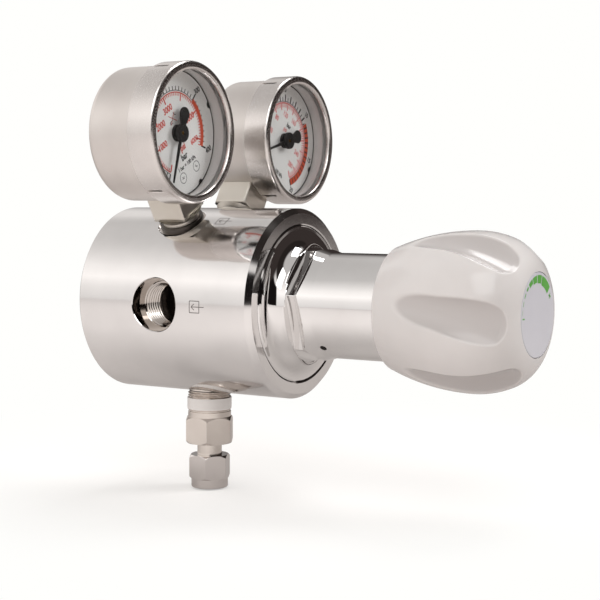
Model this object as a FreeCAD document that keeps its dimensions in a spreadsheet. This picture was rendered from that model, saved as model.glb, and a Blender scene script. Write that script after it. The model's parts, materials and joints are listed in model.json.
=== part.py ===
import FreeCAD, Part
import math
import os
import Sketcher

# A two-gauge, diaphragm gas pressure regulator, 70 mm across, in millimetres.
# The origin is the centre of the rear mounting face.  The regulator's axis runs from there to the
# front along -Y, +Z is up, the inlet is on the -X side and the outlet on the +X side.
# Each turned piece is drawn about its own Z axis and then set in place:
# pieces on the main axis measure their Z forwards from the rear face, pieces in a port measure it
# outwards from the main axis, and gauge pieces measure it forwards from the plane of the ports.

from FreeCAD import Placement, Rotation, Vector

SIZES = {
    # barrel
    "body_radius": 35.0,
    "body_length": 76.8,
    "front_bevel": 1.85,
    "rear_bevel": 1.0,
    "port_level": 35.5,
    "diaphragm_level": 57.0,
    "chamber_radius": 22.0,
    "chamber_floor": 51.0,
    "valve_bore_radius": 9.0,
    "valve_bore_floor": 41.3,
    "supply_bore_radius": 7.0,
    "supply_bore_floor": 14.0,
    # ports round the barrel
    "port_mouth_radius": 9.75,
    "port_mouth_depth": 6.0,
    "port_thread_radius": 7.48,
    "port_thread_depth": 20.0,
    "port_bore_radius": 5.6,
    "feed_radius": 1.5,
    "feed_drop_radius": 1.8,
    "feed_inset": 2.2,
    "outlet_feed_radius": 2.5,
    "outlet_feed_reach": 18.5,
    "gauge_thread_radius": 5.7,
    "gauge_port_depth": 13.0,
    "gauge_seat_radius": 9.0,
    "gauge_seat_depth": 0.9,
    "relief_thread_radius": 8.3,
    "relief_port_depth": 12.0,
    "panel_hole_radius": 2.1,
    "panel_hole_depth": 10.0,
    "panel_hole_spacing": 40.0,
    # fits
    "screw_fit": 0.05,
    "running_fit": 0.05,
    "loose_gap": 0.3,
    "touch_gap": 0.05,
    # bonnet
    "flange_radius": 28.65,
    "flange_gap": 0.3,
    "rim_bevel": 0.4,
    "rim_width": 0.9,
    "flare_height": 6.5,
    "hex_across_flats": 36.0,
    "hex_length": 3.6,
    "hex_runout": 2.6,
    "shoulder_length": 5.7,
    "neck_radius": 19.08,
    "neck_end": 145.0,
    "neck_bevel": 1.0,
    "spring_bore_radius": 15.3,
    "end_wall": 12.0,
    "plate_room_radius": 21.0,
    "plate_room_height": 5.0,
    "vent_radius": 1.25,
    "vent_level": 92.6,
    "vent_angle": 138.6,
    # diaphragm and its plate
    "diaphragm_thickness": 0.4,
    "slip_ring_thickness": 2.0,
    "slip_ring_width": 6.15,
    "plate_radius": 16.0,
    "plate_thickness": 2.4,
    "pilot_radius": 9.3,
    "pilot_height": 3.0,
    "plate_stroke": 0.8,
    # main spring and its upper button
    "spring_wire": 1.9,
    "spring_coil_radius": 12.2,
    "spring_turns": 6.0,
    "button_radius": 14.8,
    "button_thickness": 4.5,
    "button_level": 111.0,
    "ball_radius": 3.0,
    "ball_seat_depth": 1.5,
    # adjusting screw and knob
    "screw_radius": 6.0,
    "screw_hex_flats": 8.0,
    "knob_level": 117.65,
    "knob_length": 51.9,
    "knob_radius": 27.9,
    "knob_rear_radius": 22.2,
    "knob_belly": 30.0,
    "knob_front_round": 32.0,
    "knob_shoulder_angle": 24.0,
    "knob_mouth_radius": 20.7,
    "knob_cavity_depth": 37.0,
    "knob_boss_radius": 10.5,
    "knob_boss_drop": 1.6,
    "knob_rib_gap": 1.2,
    "flute_count": 6,
    "flute_reach": 33.7,
    "flute_radius": 8.7,
    "flute_front_radius": 13.7,
    "flute_end_radius": 14.8,
    "flute_bow": 0.9,
    "flute_start": 2.0,
    "flute_widening": 26.0,
    "flute_widest": 47.2,
    "flute_end": 54.0,
    "flute_slant": 10.5,
    "flute_phase": 2.0,
    "hub_radius": 7.5,
    "hub_length": 8.0,
    "knob_screw_radius": 2.5,
    "knob_screw_head_radius": 4.6,
    "knob_screw_head": 3.0,
    "badge_radius": 14.4,
    "badge_thickness": 1.0,
    "badge_sunk": 0.2,
    # main valve
    "nozzle_hex_flats": 14.0,
    "nozzle_length": 6.5,
    "nozzle_head": 2.9,
    "nozzle_bore": 2.2,
    "seat_radius": 5.5,
    "seat_bore": 1.9,
    "seat_thickness": 2.0,
    "poppet_radius": 4.6,
    "poppet_stem_radius": 1.2,
    "poppet_cone": 3.0,
    "poppet_collar": 2.2,
    "poppet_tail_radius": 2.2,
    "poppet_tail": 9.0,
    "poppet_wire": 0.5,
    "poppet_coil_radius": 3.6,
    "poppet_turns": 6.0,
    # inlet filter
    "filter_length": 4.8,
    "filter_wall": 1.2,
    "filter_ring_thickness": 1.0,
    "filter_ring_bore": 4.4,
    # relief valve, measured outwards from the barrel's wall
    "relief_start": -11.0,
    "relief_thread_end": 2.5,
    "relief_band_end": 6.75,
    "relief_band_thickness": 0.25,
    "relief_hex_start": 9.9,
    "relief_hex_end": 20.05,
    "relief_hex_flats": 17.0,
    "relief_hex_trim": 1.2,
    "relief_hex_angle": -28.5,
    "relief_seat_level": -5.0,
    "relief_inlet_radius": 2.2,
    "relief_chamber_radius": 5.0,
    "relief_chamber_end": 5.5,
    "relief_spigot_radius": 6.0,
    "relief_poppet_radius": 4.6,
    "relief_poppet_length": 3.0,
    "relief_seal_radius": 3.4,
    "relief_seal_thickness": 0.8,
    "relief_stroke": 1.5,
    "relief_wire": 0.45,
    "relief_coil_radius": 3.3,
    "relief_turns": 4.0,
    "stub_radius": 4.7,
    "stub_end": 29.0,
    "nut_start": 24.65,
    "nut_hex_end": 33.8,
    "nut_end": 37.3,
    "nut_flats": 14.3,
    "nut_hex_trim": 1.0,
    "nut_hex_angle": -23.5,
    "nut_collar_radius": 7.05,
    "tube_radius": 3.25,
    "ferrule_radius": 4.5,
    "front_ferrule_length": 2.4,
    "back_ferrule_length": 1.3,
    # gauges, their sockets measured outwards from the barrel's wall
    "gauge_tilt": 30.0,
    "gauge_gap": 12.1,
    "case_radius": 23.9,
    "case_wall": 1.1,
    "case_depth": 10.7,
    "case_front": 15.0,
    "case_round": 3.2,
    "plug_radius": 4.6,
    "plug_height": 10.0,
    "gasket_thickness": 0.8,
    "window_thickness": 2.0,
    "window_play": 0.2,
    "bezel_wall": 1.2,
    "bezel_lip": 1.3,
    "bezel_overlap": 2.0,
    "bezel_length": 10.6,
    "bezel_round": 0.9,
    "notch_width": 5.0,
    "notch_depth": 1.2,
    "socket_flats": 14.0,
    "socket_block_start": 3.5,
    "socket_collar_radius": 6.9,
    "socket_collar_height": 1.3,
    "socket_shank_radius": 5.65,
    "socket_neck_width": 9.0,
    "socket_neck_depth": 6.2,
    "post_width": 10.0,
    "post_top": 13.4,
    "washer_thickness": 1.5,
    "washer_radius": 8.2,
    "dial_play": 0.2,
    "dial_level": 11.2,
    "dial_thickness": 0.6,
    "dial_notch_radius": 1.5,
    "pointer_level": 13.0,
    "pointer_thickness": 0.5,
    "pointer_width": 1.5,
    "pointer_tip_width": 0.44,
    "pointer_waist": 2.8,
    "pointer_reach": 18.3,
    "pointer_tail": 9.5,
    "pointer_paddle": 5.3,
    "pointer_hub_radius": 3.3,
    "pointer_hub_height": 1.3,
    "scale_start": 135.0,
    # gauge movement
    "gear_module": 0.3,
    "pinion_teeth": 10,
    "sector_circle_teeth": 60,
    "sector_teeth": 11,
    "mesh_angle": 130.0,
    "tooth_addendum": 0.24,
    "tooth_dedendum": 0.42,
    "tooth_half_root": 0.25,
    "tooth_half_tip": 0.1,
    "pinion_shaft_radius": 0.6,
    "pinion_face": 1.8,
    "sector_face": 1.2,
    "sector_level": 3.0,
    "sector_hub_radius": 2.0,
    "sector_arbor_radius": 0.7,
    "tail_reach": 4.5,
    "tail_angle": 340.0,
    "tail_width": 2.4,
    "link_gap": 0.2,
    "link_thickness": 0.7,
    "link_width": 2.2,
    "link_pin_radius": 0.5,
    "frame_plate": 0.8,
    "frame_height": 6.0,
    "pillar_radius": 1.4,
    "bourdon_radius": 15.5,
    "bourdon_width": 1.8,
    "bourdon_height": 5.0,
    "bourdon_level": -3.2,
    "bourdon_tip_angle": 15.0,
    "bourdon_tip_size": 2.6,
}

NODES_FOLDER = "parts"


class Size:
    """A number together with the sheet expression that it comes from."""

    def __init__(self, value, text):
        self.value = float(value)
        self.text = text

    def __float__(self):
        return self.value

    def __add__(self, other):
        return combine(self, "+", other)

    def __radd__(self, other):
        return combine(other, "+", self)

    def __sub__(self, other):
        return combine(self, "-", other)

    def __rsub__(self, other):
        return combine(other, "-", self)

    def __mul__(self, other):
        return combine(self, "*", other)

    def __rmul__(self, other):
        return combine(other, "*", self)

    def __truediv__(self, other):
        return combine(self, "/", other)

    def __neg__(self):
        return combine(0.0, "-", self)


ARITHMETIC = {
    "+": lambda a, b: a + b,
    "-": lambda a, b: a - b,
    "*": lambda a, b: a * b,
    "/": lambda a, b: a / b,
}


def sized(thing):
    return thing if isinstance(thing, Size) else Size(thing, repr(round(float(thing), 12)))


def combine(left, sign, right):
    """The sum, difference, product or quotient of two sizes, as a number and as an expression."""
    left, right = sized(left), sized(right)
    return Size(ARITHMETIC[sign](left.value, right.value), f"({left.text} {sign} {right.text})")


def cosine(degrees):
    return round(math.cos(math.radians(float(degrees))), 12)


def sine(degrees):
    return round(math.sin(math.radians(float(degrees))), 12)


def root(size):
    size = sized(size)
    return Size(math.sqrt(size.value), f"sqrt({size.text})")


class Sheet:
    """The driving dimensions, one named cell each."""

    def __init__(self, document, values):
        cells = document.addObject("Spreadsheet::Sheet", "Sizes")
        for row, (alias, value) in enumerate(values.items(), start=1):
            cells.set(f"A{row}", alias)
            cells.set(f"B{row}", str(value))
            cells.setAlias(f"B{row}", alias)
            setattr(self, alias, Size(value, f"Sizes.{alias}"))


doc = FreeCAD.newDocument("gas_regulator")
s = Sheet(doc, SIZES)
doc.recompute()


# Sketches and features

def make_body(label):
    body = doc.addObject("PartDesign::Body", label)
    body.Label = label
    return body


def make_sketch(body, role="XZ_Plane", lift=0.0, turn=0.0, slant=0.0):
    """A sketch on an origin plane, lifted off it, turned in it, or slanted about its own x axis."""
    name = f"{body.Label}_sketch"
    sketch = body.newObject("Sketcher::SketchObject", name)
    plane = next(item for item in body.Origin.OriginFeatures if item.Role == role)
    sketch.AttachmentSupport = (plane, [""])
    sketch.MapMode = "FlatFace"
    lift = sized(lift)
    turned = Rotation(Vector(0, 0, 1), float(turn)) * Rotation(Vector(1, 0, 0), float(slant))
    sketch.AttachmentOffset = Placement(Vector(0, 0, lift.value), turned)
    sketch.setExpression(".AttachmentOffset.Base.z", lift.text)
    return sketch


def hold_point(sketch, geometry, end, x, y):
    """Dimensions one point of a sketch from the sketch's origin."""
    for size, kind, axis in ((x, "DistanceX", -2), (y, "DistanceY", -1)):
        if isinstance(size, Size):
            index = sketch.addConstraint(Sketcher.Constraint(kind, -1, 1, geometry, end, size.value))
            sketch.setExpression(f"Constraints[{index}]", size.text)
        elif size == 0:
            sketch.addConstraint(Sketcher.Constraint("PointOnObject", geometry, end, axis))
        else:
            sketch.addConstraint(Sketcher.Constraint(kind, -1, 1, geometry, end, float(size)))


def at(x, y):
    return Vector(float(x), float(y), 0)


def draw(sketch, path):
    """Draws a closed outline through the corners (x, y) of path; a middle point, written
    (x, y, "via"), bends the run between its two neighbours into an arc through it."""
    runs = []
    for index, here in enumerate(path):
        if len(here) == 3:
            continue
        following = path[(index + 1) % len(path)]
        if len(following) == 3:
            runs.append((here, following, path[(index + 2) % len(path)]))
        else:
            runs.append((here, None, following))
    first = sketch.GeometryCount
    starts, ends = [], []
    for begin, via, end in runs:
        if via is None:
            geometry = sketch.addGeometry(Part.LineSegment(at(*begin[:2]), at(*end[:2])), False)
            starts.append((geometry, 1))
            ends.append((geometry, 2))
            continue
        geometry = sketch.addGeometry(Part.Arc(at(*begin[:2]), at(*via[:2]), at(*end[:2])), False)
        forwards = sketch.getPoint(geometry, 1).distanceToPoint(at(*begin[:2])) < 1e-6
        starts.append((geometry, 1 if forwards else 2))
        ends.append((geometry, 2 if forwards else 1))
    for index, (begin, via, end) in enumerate(runs):
        sketch.addConstraint(Sketcher.Constraint("Coincident", *ends[index - 1], *starts[index]))
        hold_point(sketch, *starts[index], begin[0], begin[1])
    for index, (begin, via, end) in enumerate(runs):
        if via is not None:
            middle = sketch.addGeometry(Part.Point(at(*via[:2])), True)
            hold_point(sketch, middle, 1, via[0], via[1])
            sketch.addConstraint(Sketcher.Constraint("PointOnObject", middle, 1, first + index))


def draw_circle(sketch, x, y, radius):
    circle = sketch.addGeometry(Part.Circle(at(x, y), Vector(0, 0, 1), float(radius)), False)
    hold_point(sketch, circle, 3, x, y)
    index = sketch.addConstraint(Sketcher.Constraint("Radius", circle, float(radius)))
    sketch.setExpression(f"Constraints[{index}]", sized(radius).text)


def draw_axis(sketch, reach):
    """A construction line parallel to the sketch's y axis, to turn a profile about."""
    line = sketch.addGeometry(Part.LineSegment(at(reach, 0), at(reach, reach)), True)
    hold_point(sketch, line, 1, reach, 0.0)
    hold_point(sketch, line, 2, reach, reach)


def set_size(feature, name, size):
    size = sized(size)
    setattr(feature, name, size.value)
    feature.setExpression(name, size.text)


def turn(body, sketch, cut=False, angle=360.0, axis="V_Axis"):
    """Revolves a sketch, to add it to the body or to cut it out."""
    kind = "PartDesign::Groove" if cut else "PartDesign::Revolution"
    feature = body.newObject(kind, f"{body.Label}_turned")
    feature.Profile = sketch
    feature.ReferenceAxis = (sketch, [axis])
    set_size(feature, "Angle", angle)
    sketch.Visibility = False
    return feature


def pad(body, sketch, length, reverse=False):
    feature = body.newObject("PartDesign::Pad", f"{body.Label}_pad")
    feature.Profile = sketch
    set_size(feature, "Length", length)
    feature.Reversed = reverse
    return feature


def pocket(body, sketch, length, reverse=False, taper=0.0, both=False):
    feature = body.newObject("PartDesign::Pocket", f"{body.Label}_pocket")
    feature.Profile = sketch
    set_size(feature, "Length", length)
    feature.Reversed = reverse
    feature.TaperAngle = taper
    feature.Midplane = both
    return feature


def repeat(body, feature, count, angle=360.0):
    """Copies a feature round the body's own Z axis."""
    doc.recompute()
    pattern = body.newObject("PartDesign::PolarPattern", f"{body.Label}_pattern")
    pattern.Originals = [feature]
    z_axis = next(item for item in body.Origin.OriginFeatures if item.Role == "Z_Axis")
    pattern.Axis = (z_axis, [""])
    set_size(pattern, "Angle", angle)
    count = sized(count)
    pattern.Occurrences = round(count.value)
    pattern.setExpression("Occurrences", count.text)
    body.Tip = pattern
    return pattern


def spiral(body, sketch, pitch, height):
    feature = body.newObject("PartDesign::AdditiveHelix", f"{body.Label}_coil")
    feature.Profile = sketch
    feature.ReferenceAxis = (sketch, ["V_Axis"])
    feature.Mode = "pitch-height-angle"
    set_size(feature, "Pitch", pitch)
    set_size(feature, "Height", height)
    feature.Angle = 0
    feature.LeftHanded = False
    feature.Reversed = False
    return feature


# Shapes that repeat

ARC_SHARE = 1.0 - math.cos(math.radians(45.0))


def rounded(x, y, radius, x_side, y_side, from_level):
    """A round corner at (x, y) between a level run and an upright one.  The sides point from the
    corner into the material; from_level says that the outline arrives along the level run."""
    level = (x + x_side * radius, y)
    middle = (x + x_side * ARC_SHARE * radius, y + y_side * ARC_SHARE * radius, "via")
    upright = (x, y + y_side * radius)
    return [level, middle, upright] if from_level else [upright, middle, level]


def beveled(x, y, size, x_side, y_side, from_level):
    level, upright = (x + x_side * size, y), (x, y + y_side * size)
    return [level, upright] if from_level else [upright, level]


def turned_piece(label, path):
    body = make_body(label)
    sketch = make_sketch(body)
    draw(sketch, path)
    turn(body, sketch)
    return body


def rod(radius, low, high):
    """The half section of a plain solid cylinder."""
    return [(0, low), (radius, low), (radius, high), (0, high)]


def ring(inner, outer, low, high):
    return [(inner, low), (outer, low), (outer, high), (inner, high)]


def hexagon(flats, first_angle=0.0):
    corner = flats / math.sqrt(3.0)
    angles = [first_angle + 60.0 * k for k in range(6)]
    return [(corner * cosine(a), corner * sine(a)) for a in angles]


def radial_hole(body, angle, level, steps):
    """Bores the body from the side: steps are (radius, nearest, furthest) from the main axis, and
    the angle is measured from straight up towards the inlet side."""
    sketch = make_sketch(body, "XY_Plane", lift=level, turn=angle)
    path = [(0, steps[0][1])]
    for radius, nearest, furthest in steps:
        path += [(radius, nearest), (radius, furthest)]
    path.append((0, steps[-1][2]))
    draw(sketch, path)
    turn(body, sketch, cut=True)


def trimmed_hex(body, flats, low, high, trim, first_angle):
    """A hexagonal length of bar with its corners turned off at both ends."""
    sketch = make_sketch(body, "XY_Plane", lift=low)
    draw(sketch, hexagon(flats, first_angle))
    pad(body, sketch, high - low)
    corner = flats / math.sqrt(3.0)
    for level, side in ((low, 1.0), (high, -1.0)):
        sketch = make_sketch(body)
        draw(sketch, [(corner - trim, level), (corner + trim, level),
                      (corner + trim, level + side * trim * 2.0)])
        turn(body, sketch, cut=True)


def coil_piece(label, wire, coil_radius, low, high, turns):
    """A coil spring between two levels; the wire's ends stop level with the seats."""
    body = make_body(label)
    sketch = make_sketch(body)
    draw_circle(sketch, coil_radius, low + wire, wire)
    rise = high - low - 2.0 * wire
    spiral(body, sketch, rise / turns, rise)
    return body


# Where pieces stand

FORWARDS = Rotation(Vector(1, 0, 0), 90)


def on_axis(body):
    """Main-axis pieces: own Z runs forwards from the rear face."""
    body.Placement = Placement(Vector(0, 0, 0), FORWARDS)
    return body


def in_port(body, angle):
    """Port pieces: own Z runs outwards from the barrel's wall; the angle is from straight up."""
    outwards = Rotation(Vector(0, 1, 0), -float(angle))
    wall = Vector(0, -float(s.port_level), 0) + outwards.multVec(Vector(0, 0, float(s.body_radius)))
    body.Placement = Placement(wall, outwards)
    return body


def in_gauge(body, angle):
    """Gauge pieces: own Z runs forwards, own Y away from the main axis, from the dial's centre."""
    outwards = Rotation(Vector(0, 1, 0), -float(angle))
    reach = s.body_radius + s.gauge_gap + s.case_radius
    centre = Vector(0, -float(s.port_level), 0) + outwards.multVec(Vector(0, 0, float(reach)))
    body.Placement = Placement(centre, outwards * FORWARDS)
    return body


INLET, OUTLET, RELIEF = 90.0, -90.0, 180.0
HIGH_GAUGE, LOW_GAUGE = float(s.gauge_tilt), -float(s.gauge_tilt)


# Barrel: front recess for the bonnet, low pressure chamber, valve bore and supply bore, one inside
# the other, and the ports round it at one level.

def make_barrel():
    body = make_body("body")
    sketch = make_sketch(body)
    draw(sketch, [(0, 0)]
         + beveled(s.body_radius, 0, s.rear_bevel, -1.0, 1.0, True)
         + beveled(s.body_radius, s.body_length, s.front_bevel, -1.0, -1.0, False)
         + [(0, s.body_length)])
    turn(body, sketch)
    sketch = make_sketch(body)
    recess = s.flange_radius + s.flange_gap
    draw(sketch, [(0, s.supply_bore_floor),
                  (s.supply_bore_radius, s.supply_bore_floor),
                  (s.supply_bore_radius, s.valve_bore_floor),
                  (s.valve_bore_radius, s.valve_bore_floor),
                  (s.valve_bore_radius, s.chamber_floor),
                  (s.chamber_radius, s.chamber_floor),
                  (s.chamber_radius, s.diaphragm_level),
                  (recess, s.diaphragm_level),
                  (recess, s.body_length - s.rim_bevel),
                  (recess + s.rim_bevel, s.body_length),
                  (recess + s.rim_bevel, s.body_length + 1.0),
                  (0, s.body_length + 1.0)])
    turn(body, sketch, cut=True)
    outside = s.body_radius + 1.0
    mouth = s.body_radius - s.port_mouth_depth
    bottom = s.body_radius - s.port_thread_depth
    radial_hole(body, INLET, s.port_level, [
        (s.port_bore_radius, 0, bottom),
        (s.port_thread_radius, bottom, mouth),
        (s.port_mouth_radius, mouth, outside)])
    radial_hole(body, OUTLET, s.port_level, [
        (s.port_thread_radius, bottom, mouth),
        (s.port_mouth_radius, mouth, outside)])
    gauge_floor = s.body_radius - s.gauge_port_depth
    gauge_seat = s.body_radius - s.gauge_seat_depth
    feed_reach = s.chamber_radius - s.feed_inset
    for angle, nearest in ((HIGH_GAUGE, s.supply_bore_radius - 1.0), (LOW_GAUGE, feed_reach)):
        radial_hole(body, angle, s.port_level, [
            (s.feed_radius, nearest, gauge_floor),
            (s.gauge_thread_radius, gauge_floor, gauge_seat),
            (s.gauge_seat_radius, gauge_seat, outside)])
    relief_floor = s.body_radius - s.relief_port_depth
    radial_hole(body, RELIEF, s.port_level, [
        (s.feed_radius, feed_reach, relief_floor),
        (s.relief_thread_radius, relief_floor, outside)])
    sketch = make_sketch(body, "XY_Plane", lift=s.chamber_floor)
    draw_circle(sketch, s.outlet_feed_reach, 0, s.outlet_feed_radius)
    for angle in (LOW_GAUGE, RELIEF):
        draw_circle(sketch, feed_reach * -sine(angle), feed_reach * cosine(angle), s.feed_drop_radius)
    pocket(body, sketch, s.chamber_floor - s.port_level)
    sketch = make_sketch(body, "XY_Plane")
    for side in (-1.0, 1.0):
        draw_circle(sketch, s.panel_hole_spacing * (side / 2.0), 0, s.panel_hole_radius)
    pocket(body, sketch, s.panel_hole_depth, reverse=True)
    on_axis(body)


# Bonnet: flange in the barrel's recess, trumpet flare, hexagon with run-out flats, long neck.

def make_bonnet():
    body = make_body("bonnet")
    rim = s.body_length
    flange_low = s.diaphragm_level + s.diaphragm_thickness + s.slip_ring_thickness
    hex_low = rim + s.flare_height
    corner = s.hex_across_flats / math.sqrt(3.0)
    hex_high = hex_low + s.hex_length
    shoulder_high = hex_high + s.shoulder_length
    flare_foot = s.flange_radius - s.rim_bevel - s.rim_width
    flare_width = flare_foot - corner
    room = flange_low + s.plate_room_height
    sketch = make_sketch(body)
    draw(sketch, [(s.plate_room_radius, flange_low),
                  (s.flange_radius, flange_low)]
         + beveled(s.flange_radius, rim, s.rim_bevel, -1.0, -1.0, False)
         + [(flare_foot, rim),
            (corner + ARC_SHARE * flare_width, rim + ARC_SHARE * s.flare_height, "via"),
            (corner, hex_low),
            (corner, hex_high),
            (s.neck_radius, shoulder_high)]
         + beveled(s.neck_radius, s.neck_end, s.neck_bevel, -1.0, -1.0, False)
         + [(s.screw_radius + s.running_fit, s.neck_end),
            (s.screw_radius + s.running_fit, s.neck_end - s.end_wall),
            (s.spring_bore_radius, s.neck_end - s.end_wall),
            (s.spring_bore_radius, room + s.plate_room_radius - s.spring_bore_radius),
            (s.plate_room_radius, room)])
    turn(body, sketch)
    # The flats are milled: straight over the hexagon, then running out of the metal at 45 degrees.
    clear_radius = corner + 2.0
    for level, length, taper in ((hex_low - 0.6, s.hex_length + 0.6, 0.0), (hex_high, s.hex_runout, -45.0)):
        sketch = make_sketch(body, "XY_Plane", lift=level)
        draw_circle(sketch, 0, 0, clear_radius)
        draw(sketch, hexagon(s.hex_across_flats, 136.0))
        pocket(body, sketch, length, reverse=True, taper=taper)
    radial_hole(body, s.vent_angle, s.vent_level, [(s.vent_radius, s.spring_bore_radius - 1.0, s.neck_radius + 2.0)])
    on_axis(body)


# Diaphragm stack and the main spring above it.

def make_diaphragm_stack():
    low = s.diaphragm_level
    top = low + s.diaphragm_thickness
    edge = s.flange_radius
    fold_in, fold_out = s.plate_radius + 1.0, s.chamber_radius - 1.0
    fold_middle = (fold_in + fold_out) / 2.0
    fold_height = (fold_out - fold_in) / 4.0
    on_axis(turned_piece("diaphragm", [
        (0, low), (fold_in, low), (fold_middle, low + fold_height, "via"), (fold_out, low), (edge, low),
        (edge, top), (fold_out, top), (fold_middle, top + fold_height, "via"), (fold_in, top), (0, top)]))
    on_axis(turned_piece("slip_ring", ring(edge - s.slip_ring_width, edge, top, top + s.slip_ring_thickness)))
    plate_low = top
    plate_top = plate_low + s.plate_thickness
    on_axis(turned_piece("diaphragm_plate", [(0, plate_low)]
                         + beveled(s.plate_radius, plate_low, 0.4, -1.0, 1.0, True)
                         + [(s.plate_radius, plate_top), (s.pilot_radius, plate_top)]
                         + beveled(s.pilot_radius, plate_top + s.pilot_height, 1.0, -1.0, -1.0, False)
                         + [(0, plate_top + s.pilot_height)]))
    button_top = s.button_level + s.button_thickness
    seat_floor = button_top - s.ball_seat_depth
    on_axis(turned_piece("spring_button", [(0, s.button_level - s.pilot_height)]
                         + beveled(s.pilot_radius, s.button_level - s.pilot_height, 1.0, -1.0, 1.0, True)
                         + [(s.pilot_radius, s.button_level), (s.button_radius, s.button_level)]
                         + beveled(s.button_radius, button_top, 1.0, -1.0, -1.0, False)
                         + [(s.ball_radius + s.touch_gap, button_top),
                            (s.ball_radius + s.touch_gap, seat_floor), (0, seat_floor)]))
    ball_level = seat_floor + s.touch_gap + s.ball_radius
    on_axis(turned_piece("thrust_ball", [
        (0, ball_level - s.ball_radius), (s.ball_radius, ball_level, "via"), (0, ball_level + s.ball_radius)]))
    on_axis(coil_piece("main_spring", s.spring_wire, s.spring_coil_radius, plate_top, s.button_level,
                       s.spring_turns))
    return ball_level + s.ball_radius + s.touch_gap


# Knob: barrel-shaped grip with slanting finger flutes, hub, screws and the front disc.

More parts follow.
